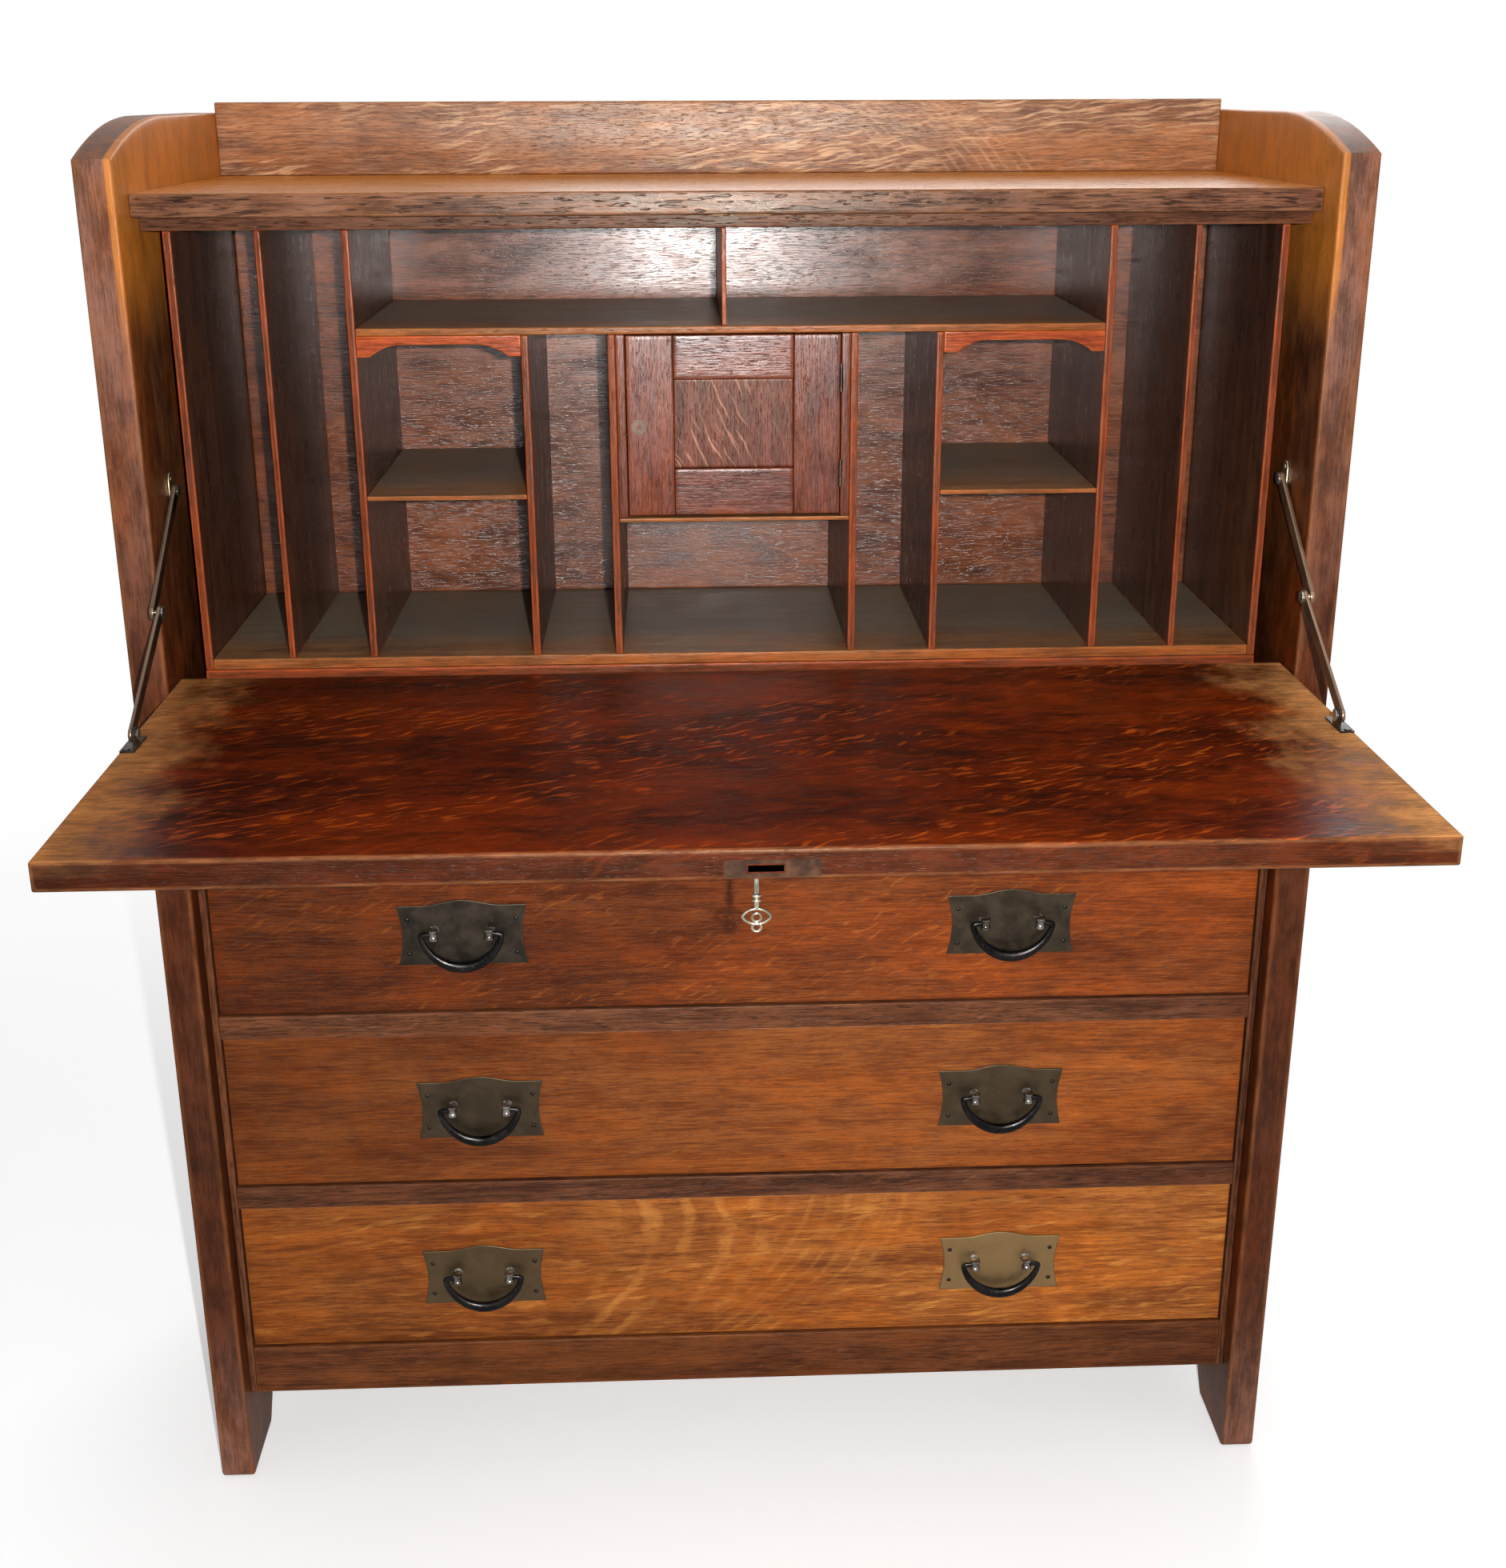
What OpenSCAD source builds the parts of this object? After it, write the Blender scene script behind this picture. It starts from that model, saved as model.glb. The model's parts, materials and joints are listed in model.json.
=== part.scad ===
// Fall-front writing desk with a pigeonhole unit, folding stays and three drawers.
// Units are millimetres. X runs across the front from the middle, Y runs to the back from the front
// edges of the side panels, Z is up from the floor.

/* [Case] */

// Overall width across both side panels.
case_w = 965; // [880:1:1050]
// Depth of the side panels from front edge to back edge.
case_d = 355; // [330:1:400]
// How far the side panels rise above the top shelf.
side_rise = 54; // [40:1:63]
// Thickness of the side panels.
side_t = 29; // [24:1:32]
// How far the top edge of a side drops toward the front.
side_drop = 28; // [10:1:40]
// Length over which the top edge drops.
side_run = 160; // [120:1:200]
// Depth of each foot at the floor.
foot_d = 80; // [60:1:100]
// Height of the arch between the feet.
arch_h = 85; // [50:1:100]
// Thickness of the top shelf.
shelf_t = 18; // [15:1:20]
// Distance from the side front edges back to the front of the top shelf.
shelf_y = 34; // [20:1:34.5]
// Height of the gallery board above the top shelf.
gallery_h = 63; // [40:1:90]
// Thickness of the gallery board.
gallery_t = 19; // [12:1:25]
// Thickness of the back panel.
back_t = 8; // [5:1:12]
// Bottom edge of the back panel.
back_z = 84; // [60:1:120]
// Distance from the side front edges back to the drawer frame.
frame_y = 20.4; // [15:0.1:25]
// Thickness front to back of the frame boards.
frame_t = 19; // [15:1:22]
// Height of the frieze board above the top drawer rail.
frieze_h = 86; // [60:1:110]
// Width of the narrow stile beside each side panel.
stile_w = 6; // [4:1:10]

/* [Drawers] */

// Bottom edge of the bottom rail.
bottom_rail_z = 80; // [70:1:95]
// Height of the bottom rail.
bottom_rail_h = 48.5; // [35:0.5:55]
// Height of the rails between the drawers.
rail_h = 22; // [18:1:26]
// Depth front to back of the rails between the drawers.
rail_d = 55; // [40:1:70]
// Height of the middle and lower drawer openings.
drawer_h = 147; // [130:1:155]
// Height of the top drawer opening.
top_drawer_h = 153; // [130:1:160]
// Gap around each drawer front.
front_gap = 1; // [0.5:0.5:2]
// How far the drawer fronts sit behind the frame.
front_recess = 3; // [0:1:5]
// Thickness of a drawer front.
front_t = 19; // [15:1:22]
// Thickness of drawer sides and backs.
box_t = 11; // [8:1:14]
// Thickness of a drawer bottom.
box_floor_t = 6; // [4:1:8]
// Gap between the back of a drawer and the back panel.
drawer_back_gap = 15.6; // [5:0.1:30]

/* [Pulls] */

// Distance of each pull from the end of its drawer.
pull_in = 214.5; // [120:0.5:260]
// How far a pull plate centre sits below the middle of its opening.
pull_drop = 4; // [0:1:8]
// Width of a pull plate.
plate_w = 110; // [90:1:120]
// Height of a pull plate at its ends.
plate_h = 55; // [45:1:60]
// Rise of the peak at the top of a pull plate.
plate_peak = 5; // [2:1:8]
// Thickness of a pull plate.
plate_t = 1.5; // [1:0.1:2]
// Distance between the two posts of a pull.
post_gap = 47; // [42:1:52]
// Height of the posts above the plate centre.
post_rise = 5; // [2:1:8]
// Distance the bail axis stands off the plate.
post_reach = 9; // [8:0.5:12]
// Radius of the bail rod.
bail_r = 3.4; // [2.6:0.1:3.4]
// Radius of the half ring of the bail.
bail_ring_r = 32.2; // [32.2:0.1:34]

/* [Fall] */

// Thickness of the fall.
fall_t = 21; // [19:1:22]
// Depth of the open fall from hinge edge to front edge.
fall_l = 381; // [350:1:400]
// Gap between the fall and each side panel.
fall_side_gap = 1.5; // [1:0.5:3]
// Gap between the closed fall and the top shelf.
fall_top_gap = 1.5; // [1:0.5:3]
// Thickness of the board the fall is hinged to.
bed_t = 18; // [15:1:20]
// Distance from the side front edges back to the hinge axis.
hinge_y = 34.5; // [32:0.5:34.5]
// Gap between the fall and the hinge axis.
hinge_gap = 1; // [0.8:0.1:1.2]
// Radius of the fall hinge barrels.
barrel_r = 3; // [2.5:0.1:3.4]
// Length of each fall hinge.
hinge_w = 76; // [60:1:90]
// Distance of the fall hinges from the ends of the fall.
hinge_in = 142; // [80:1:200]
// Width of a fall hinge leaf.
leaf_w = 16; // [12:1:16]
// Thickness of a fall hinge leaf.
leaf_t = 1.6; // [1.2:0.1:2]

/* [Stays] */

// Height of the upper stay pivot above the board the fall is hinged to.
stay_up = 169.5; // [155:0.5:175]
// Height of the lower stay pivot above the surface of the fall.
stay_rise = 10; // [9:0.5:12]
// Sag of the middle stay pivot below the straight line.
stay_sag = 7; // [5:0.5:10]
// Half of the width of a stay link.
link_r = 5.5; // [4.5:0.1:6]
// Thickness of a stay link.
link_t = 2.6; // [2:0.1:2.6]
// Radius of the stay pivot pins.
stay_pin_r = 2.2; // [1.8:0.1:2.5]

/* [Pigeonholes] */

// Distance from the side front edges back to the front of the unit.
unit_y = 60; // [59:0.5:65]
// Gap between the back of the unit and the back panel.
unit_back_gap = 69; // [40:1:90]
// Thickness of the unit back panel.
unit_back_t = 6; // [4:1:8]
// Gap between the unit and each side panel, where the stays fold.
unit_gap = 15.5; // [15.5:0.5:20]
// Thickness of the unit end walls.
wall_t = 6.5; // [5:0.5:8]
// Thickness of the base under the unit.
base_t = 20.5; // [18:0.5:21]
// Thickness of the unit floor.
unit_floor_t = 9; // [7:0.5:10]
// Height of the stop rail under the top shelf.
stop_rail_h = 11; // [9:1:14]
// Distance from the side front edges to the front of the stop rail.
stop_rail_y = 57; // [56.8:0.1:58]
// Depth of the stop rail.
stop_rail_d = 20; // [15:1:30]
// Width of the outer slots, beside the end walls.
outer_slot_w = 63; // [40:0.5:70]
// Thickness of the outer dividers.
outer_t = 5; // [4:0.5:7]
// Width of the slots between the outer dividers and the main partitions.
inner_slot_w = 61.5; // [40:0.5:70]
// Width of the narrow slots beside the cupboard.
narrow_slot_w = 62; // [40:0.5:70]
// Thickness of the partitions.
part_t = 6; // [5:0.5:7]
// Height of the space above the wide shelf.
upper_space_h = 75; // [60:0.5:90]
// Thickness of the wide shelf.
wide_shelf_t = 6; // [5:0.5:7]
// Thickness of the divider on the wide shelf.
centre_t = 4; // [3:0.5:6]
// How far that divider sits to the left of the middle.
centre_off = 7; // [0:1:20]
// Height of the top of the small cubby shelves, as a share of the space under the wide shelf.
cubby_shelf_share = 0.515; // [0.4:0.005:0.6]
// Thickness of the small shelves.
cubby_shelf_t = 4; // [3:0.5:6]
// Height of a valance at its ends.
valance_h = 16.5; // [14:0.5:20]
// Height of a valance at its middle.
valance_mid_h = 7; // [5:0.5:9]
// Width of the straight foot at each end of a valance.
valance_foot = 10; // [6:1:14]
// Width of the curve beside each valance foot.
valance_curve = 26; // [16:1:36]
// Thickness of a valance.
valance_t = 6; // [4:0.5:8]

/* [Cupboard] */

// Height of the top of the shelf under the cupboard, as a share of the space under the wide shelf.
door_shelf_share = 0.437; // [0.3:0.001:0.45]
// Thickness of the shelf under the cupboard door.
door_shelf_t = 3.5; // [3:0.5:5]
// Half of the width of the cupboard door.
door_half_w = 85.5; // [75:0.5:95]
// Width of the strip between the door and each cupboard partition.
jamb_w = 7.5; // [5:0.5:10]
// Thickness of the cupboard door.
door_t = 14; // [12:1:16]
// Width of the door stiles.
door_stile_w = 37.5; // [25:0.5:45]
// Height of the top door rail.
door_top_rail = 35; // [25:0.5:45]
// Height of the bottom door rail.
door_low_rail = 38; // [25:0.5:45]
// Thickness of the door panel.
door_panel_t = 6; // [4:0.5:8]
// Length of each cupboard hinge.
cup_hinge_h = 22; // [18:1:26]
// Distance of each cupboard hinge from the top or the bottom of the door.
cup_hinge_in = 34; // [20:1:40]
// Radius of the cupboard hinge barrels.
cup_barrel_r = 1.5; // [1.2:0.1:1.5]

/* [Lock] */

// Centre of the lock to the right of the desk centre.
lock_x = 10.5; // [-20:0.5:20]
// Centre of the bolt to the right of the desk centre.
bolt_x = 6.5; // [-20:0.5:20]
// Key axis to the right of the desk centre.
key_x = 1.2; // [-20:0.1:20]
// Distance of the key axis behind the front edge of the fall.
key_back = 21; // [20.5:0.1:21.5]
// Height of the middle of the lock above the outer face of the fall.
lock_rise = 7.5; // [7:0.5:8]
// Width of the lock face plate.
lock_face_w = 62; // [56:1:70]
// Height of the lock face plate.
lock_face_h = 12; // [10:1:12]
// Thickness of the lock face plate.
lock_face_t = 2; // [1.5:0.1:2.5]
// Width of the bolt.
bolt_w = 24.6; // [18:0.1:28]
// Height of the bolt.
bolt_h = 6.4; // [5:0.1:6.4]
// Length of the bolt.
bolt_l = 13.5; // [12:0.5:14]
// Travel of the bolt.
bolt_throw = 8; // [6:0.5:8]
// Radius of the key stem.
stem_r = 3; // [2.5:0.1:3]
// Reach of the key bit from the key axis.
bit_r = 14.5; // [12:0.1:14.5]

/* [Hidden] */

$fn = 48;

// Margin by which a cutting shape passes its target.
cut = 1;
// Clearance of a pin in its hole.
pin_fit = 0.05;
// Gap between neighbouring knuckles and sliding faces.
slide_gap = 0.2;
// Clearance between a drawer and what it slides on.
run_gap = 0.1;
// Glue line between boards of one node, so that each stays a piece of its own.
glue = 0.02;
// Half of the clear width between the side panels.
inner_x = case_w / 2 - side_t;
// Half of the clear width between the stiles.
open_x = inner_x - stile_w;
side_top_r = (side_run * side_run + side_drop * side_drop) / (2 * side_drop);

// Bottom edge of each drawer opening, counted from the top drawer.
low_3 = bottom_rail_z + bottom_rail_h;
low_2 = low_3 + drawer_h + rail_h;
low_1 = low_2 + drawer_h + rail_h;
drawer_low = [low_1, low_2, low_3];
open_h = [top_drawer_h, drawer_h, drawer_h];
front_y = frame_y + front_recess;
frieze_z = low_1 + top_drawer_h + rail_h;
bed_z = frieze_z + frieze_h;
bed_top = bed_z + bed_t;
// Underside of the top shelf, which the closed fall reaches, and underside of the stop rail.
shelf_z = bed_top + hinge_gap + fall_l + fall_top_gap;
shelf_top = shelf_z + shelf_t;
side_h = shelf_top + side_rise;
rail_z = shelf_z - stop_rail_h;
drawer_d = case_d - back_t - drawer_back_gap - front_y;
pull_x = open_x - pull_in;
guide_x = open_x - 1;
box_x = guide_x - slide_gap;
runner_w = 28;
runner_h = 18;
guide_h = 20;
// How far a drawer box stays below its opening, and its bottom board above its lower edge.
box_low = 12;
box_floor_up = 6;

// The fall in its open position.
fall_half_w = inner_x - fall_side_gap;
hinge_x = fall_half_w - hinge_in;
fall_z = bed_top + hinge_gap;
fall_top = fall_z + fall_t;
fall_back_y = hinge_y - hinge_gap;
fall_front_y = fall_back_y - fall_l;
knuckle_n = 5;
knuckle_w = hinge_w / knuckle_n;
fall_pin_r = 1.4;

// Stay pivots in the plane across the desk, given as [y, z].
stay_z = bed_top + stay_up;
stay_u = [hinge_y + hinge_gap + fall_t + stay_rise, stay_z];
stay_f = [hinge_y - (stay_z - bed_top), bed_top + hinge_gap + fall_t + stay_rise];
stay_half = (stay_u + stay_f) / 2;
stay_to_hinge = [hinge_y, bed_top] - stay_half;
stay_m = stay_half + stay_to_hinge * stay_sag / norm(stay_to_hinge);
// Distances inward from a side panel to each layer of a stay.
bracket_t = 1.5;
upper_u = 3;
upper_head_u = upper_u + link_t + 0.1;
lower_u = 7.6;
lug_u = 10.8;
lug_t = 2.4;
head_t = 1.4;
head_r = 4.2;

// The pigeonhole unit.
unit_floor_z = bed_top + base_t;
unit_floor_top = unit_floor_z + unit_floor_t;
unit_back_y = case_d - back_t - unit_back_gap - unit_back_t;
unit_half_w = inner_x - unit_gap;
wall_x = unit_half_w - wall_t;
outer_x = wall_x - outer_slot_w - outer_t;
main_x = outer_x - inner_slot_w - part_t;
jamb_x = door_half_w + 0.5;
cupboard_x = jamb_x + jamb_w;
cubby_x = cupboard_x + part_t + narrow_slot_w;
cubby_outer = cubby_x + part_t;
wide_shelf_top = rail_z - upper_space_h;
wide_shelf_z = wide_shelf_top - wide_shelf_t;
cubby_shelf_top = unit_floor_top + cubby_shelf_share * (wide_shelf_z - unit_floor_top);
door_shelf_top = unit_floor_top + door_shelf_share * (wide_shelf_z - unit_floor_top);
door_z = door_shelf_top + 2;
door_top = wide_shelf_z - 1;
door_y = unit_y + 0.5;
panel_half_w = door_half_w - door_stile_w;
cup_hinge_high = door_top - cup_hinge_in;
cup_hinge_low = door_z + cup_hinge_in;
cup_pin_x = door_half_w + 0.25;
cup_pin_y = unit_y - cup_barrel_r - 0.1;
cup_leaf_t = 1;
cup_leaf_d = 10;
cup_knuckle = cup_hinge_h / 3;
ring_x = 9.5 - door_half_w;
ring_z = (door_z + door_top) / 2;
ring_r = 6;
keyhole_r = 2;

// The lock inside the fall.
lock_z = fall_z + lock_rise;
lock_wall = 1.5;
lock_case_w = 56;
lock_case_h = 10;
lock_case_d = 36;
key_y = fall_front_y + key_back;
bit_t = 2.4;
keeper_y = hinge_y + lock_z - bed_top;
keeper_w = 46;
keeper_d = 13;
keeper_t = 1.5;
keeper_hole = 0.6;
mortise_h = 11;
escutcheon_t = 1.2;

// The pulls.
plate_y = front_y - plate_t;
post_r = 3.8;
ball_r = 4.7;
head_half = 4.5;
bail_pin_r = 2.1;
// Small errors of the hand-fitted pulls: sideways for the left and right pull, and upward, of each drawer.
pull_shift = [[-2, 1.5], [5, -1.5], [0, 4.5]];
pull_lift = [0, 3, 0];
nail_r = 1.9;
nail_t = 1;
nail_in = 9;
nail_up = 15;
nail_down = 17;
side_cut_r = 48;
side_cut = 4;

oak = [0.46, 0.25, 0.11];
dark_oak = [0.26, 0.13, 0.07];
bronze = [0.22, 0.17, 0.11];
brass = [0.72, 0.55, 0.28];
steel = [0.35, 0.33, 0.31];

module both_sides() {
    children();
    mirror([1, 0, 0]) children();
}

// A box given by its near and far corners.
module block(low, high) {
    translate(low) cube(high - low);
}

// A round bar along X.
module rod(r, x0, x1, y, z) {
    translate([x0, y, z]) rotate([0, 90, 0]) cylinder(r = r, h = x1 - x0);
}

// The case.

module side_panel() {
    difference() {
        block([inner_x, 0, 0], [case_w / 2, case_d, side_h]);
        difference() {
            block([inner_x - cut, -cut, side_h - side_drop - cut], [case_w / 2 + cut, side_run, side_h + cut]);
            translate([inner_x - 2 * cut, side_run, side_h - side_top_r]) rotate([0, 90, 0])
                cylinder(r = side_top_r, h = side_t + 4 * cut, $fn = 180);
        }
        foot_arch();
        foot_round(0, 1);
        foot_round(case_d, -1);
    }
}

// The opening between the front foot and the back foot.
arch_flare = 15;
arch_flare_h = 21;
arch_r = 40;
module foot_arch() {
    arch_y0 = foot_d + arch_flare;
    arch_y1 = case_d - foot_d - arch_flare;
    block([inner_x - cut, arch_y0, -cut], [case_w / 2 + cut, arch_y1, arch_h - arch_r]);
    block([inner_x - cut, arch_y0 + arch_r, -cut], [case_w / 2 + cut, arch_y1 - arch_r, arch_h]);
    rod(arch_r, inner_x - cut, case_w / 2 + cut, arch_y0 + arch_r, arch_h - arch_r);
    rod(arch_r, inner_x - cut, case_w / 2 + cut, arch_y1 - arch_r, arch_h - arch_r);
    translate([inner_x - cut, 0, 0]) rotate([90, 0, 90]) linear_extrude(side_t + 2 * cut)
        polygon([[foot_d, -cut], [foot_d, 0], [arch_y0, arch_flare_h], [arch_y1, arch_flare_h],
            [case_d - foot_d, 0], [case_d - foot_d, -cut]]);
}

// The rounded lower corner of a foot.
foot_r = 9;
module foot_round(y, way) {
    difference() {
        block([inner_x - cut, min(y - way * cut, y + way * foot_r), -cut],
            [case_w / 2 + cut, max(y - way * cut, y + way * foot_r), foot_r]);
        rod(foot_r, inner_x - 2 * cut, case_w / 2 + 2 * cut, y + way * foot_r, foot_r);
    }
}

module side_right() {
    color(oak) side_panel();
}

module side_left() {
    color(oak) mirror([1, 0, 0]) side_panel();
}

module top_shelf() {
    color(oak) difference() {
        block([-inner_x, shelf_y, shelf_z], [inner_x, case_d, shelf_top]);
        block([bolt_x - keeper_w / 2, keeper_y - keeper_d / 2, shelf_z - cut],
            [bolt_x + keeper_w / 2, keeper_y + keeper_d / 2, shelf_z + keeper_t]);
        bolt_mortise(shelf_z + mortise_h);
    }
}

module bolt_mortise(top) {
    block([bolt_x - bolt_w / 2 - keeper_hole, keeper_y - bolt_h / 2 - keeper_hole, shelf_z - cut],
        [bolt_x + bolt_w / 2 + keeper_hole, keeper_y + bolt_h / 2 + keeper_hole, top]);
}

module keeper_plate() {
    color(brass) difference() {
        block([bolt_x - keeper_w / 2, keeper_y - keeper_d / 2, shelf_z],
            [bolt_x + keeper_w / 2, keeper_y + keeper_d / 2, shelf_z + keeper_t]);
        bolt_mortise(shelf_z + keeper_t + cut);
    }
}

module gallery_board() {
    color(oak)
        block([-inner_x, case_d - gallery_t, shelf_top], [inner_x, case_d, shelf_top + gallery_h]);
}

module stop_rail() {
    color(oak)
        block([-inner_x, stop_rail_y, rail_z], [inner_x, stop_rail_y + stop_rail_d, shelf_z]);
}

module case_back() {
    color(dark_oak) block([-inner_x, case_d - back_t, back_z], [inner_x, case_d, shelf_z]);
}

module bed_board() {
    color(oak) difference() {
        block([-inner_x, frame_y, bed_z], [inner_x, case_d - back_t, bed_top]);
        both_sides() {
            barrel_room(bed_top + cut);
            block([hinge_x - hinge_w / 2, hinge_y, bed_top - leaf_t],
                [hinge_x + hinge_w / 2, hinge_y + barrel_r + leaf_w, bed_top + cut]);
        }
    }
}

// Room for a fall hinge barrel, up to the given height.
barrel_gap = 0.4;
module barrel_room(top) {
    block([hinge_x - hinge_w / 2, hinge_y - barrel_r - barrel_gap, bed_top - barrel_r - barrel_gap],
        [hinge_x + hinge_w / 2, hinge_y + barrel_r + barrel_gap, top]);
}

module drawer_rails() {
    color(oak) for (i = [0 : 2]) {
        top = drawer_low[i] + open_h[i];
        block([-open_x, frame_y, top], [open_x, frame_y + rail_d, top + rail_h]);
    }
}

module bottom_rail() {
    color(oak) block([-open_x, frame_y, bottom_rail_z], [open_x, frame_y + frame_t, low_3]);
}

module frame_stiles() {
    color(oak) both_sides()
        block([open_x, frame_y, bottom_rail_z], [inner_x, frame_y + frame_t, bed_z]);
}

module frieze_board() {
    color(oak) block([-open_x, frame_y, frieze_z], [open_x, frame_y + frame_t, bed_z]);
}

// L-shaped runners that carry and guide the drawer boxes.
module drawer_runners() {
    color(dark_oak) both_sides() for (i = [0 : 2]) {
        z = drawer_low[i];
        y0 = i == 2 ? frame_y + frame_t : frame_y + rail_d;
        block([inner_x - runner_w, y0, z - runner_h], [inner_x, case_d - back_t, z]);
        block([guide_x, frame_y + rail_d, z], [inner_x, case_d - back_t, z + guide_h]);
    }
}

// The pigeonhole unit.

module unit_base() {
    color(dark_oak)
        block([-unit_half_w, unit_y - 1, bed_top], [unit_half_w, unit_back_y + unit_back_t, unit_floor_z]);
}

module unit_floor() {
    color(oak) block([-wall_x, unit_y, unit_floor_z], [wall_x, unit_back_y + unit_back_t, unit_floor_top]);
}

module unit_walls() {
    color(oak) both_sides()
        block([wall_x, unit_y, unit_floor_z], [unit_half_w, unit_back_y + unit_back_t, rail_z]);
}

module unit_top() {
    color(dark_oak) block([-unit_half_w, stop_rail_y + stop_rail_d, rail_z],
        [unit_half_w, unit_back_y + unit_back_t, shelf_z]);
}

module unit_back() {
    color(dark_oak)
        block([-wall_x, unit_back_y, unit_floor_top], [wall_x, unit_back_y + unit_back_t, rail_z]);
}

module outer_dividers() {
    color(oak) both_sides()
        block([outer_x, unit_y, unit_floor_top], [outer_x + outer_t, unit_back_y, rail_z]);
}

module main_partitions() {
    color(oak) both_sides()
        block([main_x, unit_y, unit_floor_top], [main_x + part_t, unit_back_y, rail_z]);
}

module inner_partitions() {
    color(oak) both_sides() for (x = [cubby_x, cupboard_x])
        block([x, unit_y, unit_floor_top], [x + part_t, unit_back_y, wide_shelf_z]);
}

module wide_shelf() {
    color(oak) block([-main_x, unit_y, wide_shelf_z], [main_x, unit_back_y, wide_shelf_top]);
}

module centre_divider() {
    color(oak) block([-centre_off - centre_t / 2, unit_y, wide_shelf_top],
        [-centre_off + centre_t / 2, unit_back_y, rail_z]);
}

module cubby_shelves() {
    color(oak) both_sides()
        block([cubby_outer, unit_y, cubby_shelf_top - cubby_shelf_t], [main_x, unit_back_y, cubby_shelf_top]);
}

module door_shelf() {
    color(oak)
        block([-cupboard_x, unit_y, door_shelf_top - door_shelf_t], [cupboard_x, unit_back_y, door_shelf_top]);
}

// A valance with a straight foot at each end and a long curve up to its middle.
module valances() {
    drop = valance_h - valance_mid_h;
    r = (valance_curve * valance_curve + drop * drop) / (2 * drop);
    low = wide_shelf_z - valance_h;
    mid = wide_shelf_z - valance_mid_h;
    x0 = cubby_outer + valance_foot + valance_curve;
    x1 = main_x - valance_foot - valance_curve;
    color(dark_oak) both_sides() difference() {
        block([cubby_outer, unit_y, low], [main_x, unit_y + valance_t, wide_shelf_z]);
        for (x = [x0, x1]) translate([x, unit_y - cut, mid - r]) rotate([-90, 0, 0])
            cylinder(r = r, h = valance_t + 2 * cut, $fn = 96);
        block([x0, unit_y - cut, low - cut], [x1, unit_y + valance_t + cut, mid]);
    }
}

module door_jambs() {
    color(oak) difference() {
        both_sides() block([jamb_x, unit_y, door_shelf_top], [cupboard_x, unit_y + door_t, wide_shelf_z]);
        for (z = [cup_hinge_low, cup_hinge_high])
            block([jamb_x - cut, unit_y - cut, z - cup_hinge_h / 2],
                [jamb_x + cup_leaf_t, unit_y + cup_leaf_d, z + cup_hinge_h / 2]);
    }
}

// The fixed leaves of the cupboard hinges, each with its pin.
module jamb_hinges() {
    color(brass) for (z = [cup_hinge_low, cup_hinge_high]) {
        low = z - cup_hinge_h / 2;
        high = z + cup_hinge_h / 2;
        block([jamb_x, unit_y, low], [jamb_x + cup_leaf_t, unit_y + cup_leaf_d, high]);
        for (z0 = [low, high - cup_knuckle]) {
            cup_barrel(z0, cup_knuckle, cup_barrel_r);
            block([jamb_x, cup_pin_y, z0], [jamb_x + cup_leaf_t, unit_y + cut, z0 + cup_knuckle]);
        }
        cup_barrel(low, cup_hinge_h, cup_barrel_r / 2);
    }
}

module cup_barrel(z, h, r) {
    translate([cup_pin_x, cup_pin_y, z]) cylinder(r = r, h = h);
}

// The fall.

module fall_board() {
    color(oak) difference() {
        block([-fall_half_w, fall_front_y, fall_z], [fall_half_w, fall_back_y, fall_top]);
        both_sides() {
            barrel_room(bed_top + barrel_r + barrel_gap);
            fall_leaf_plate(cut);
        }
        lock_body(cut);
        lock_face(cut);
        keyhole(fall_z - cut, lock_z);
        escutcheon(cut);
    }
}

// The flat leaf let into the back edge of the fall.
module fall_leaf_plate(extra) {
    block([hinge_x - hinge_w / 2, fall_back_y - leaf_t, bed_top + barrel_r + barrel_gap],
        [hinge_x + hinge_w / 2, fall_back_y + extra, fall_z + leaf_w]);
}

// Knuckles of a fall hinge, counted from its left end.
module fall_knuckles(first, step) {
    x0 = hinge_x - hinge_w / 2;
    for (i = [first : step : knuckle_n - 1])
        rod(barrel_r, x0 + i * knuckle_w + slide_gap / 2, x0 + (i + 1) * knuckle_w - slide_gap / 2, hinge_y, bed_top);
}

module fall_hinges() {
    tab_low = bed_top;
    color(brass) both_sides() difference() {
        union() {
            fall_leaf_plate(0);
            fall_knuckles(1, 2);
            for (i = [1 : 2 : knuckle_n - 1]) {
                x = hinge_x - hinge_w / 2 + i * knuckle_w;
                block([x + slide_gap / 2, fall_back_y - leaf_t, tab_low],
                    [x + knuckle_w - slide_gap / 2, fall_back_y, fall_z + leaf_w / 2]);
            }
        }
        rod(fall_pin_r + pin_fit, hinge_x - hinge_w, hinge_x + hinge_w, hinge_y, bed_top);
    }
}

module bed_hinges() {
    color(brass) both_sides() {
        block([hinge_x - hinge_w / 2, hinge_y + barrel_r + barrel_gap, bed_top - leaf_t],
            [hinge_x + hinge_w / 2, hinge_y + barrel_r + leaf_w, bed_top]);
        fall_knuckles(0, 2);
        for (i = [0 : 2 : knuckle_n - 1]) {
            x = hinge_x - hinge_w / 2 + i * knuckle_w;
            block([x + slide_gap / 2, hinge_y, bed_top - leaf_t],
                [x + knuckle_w - slide_gap / 2, hinge_y + leaf_w / 2, bed_top]);
        }
        rod(fall_pin_r, hinge_x - hinge_w / 2 + slide_gap / 2, hinge_x + hinge_w / 2 - slide_gap / 2, hinge_y, bed_top);
    }
}

// The outside of the lock case, reaching past the front edge by the given amount.
module lock_body(extra) {
    block([lock_x - lock_case_w / 2, fall_front_y - extra, lock_z - lock_case_h / 2],
        [lock_x + lock_case_w / 2, fall_front_y + lock_face_t + lock_case_d, lock_z + lock_case_h / 2]);
}

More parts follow.
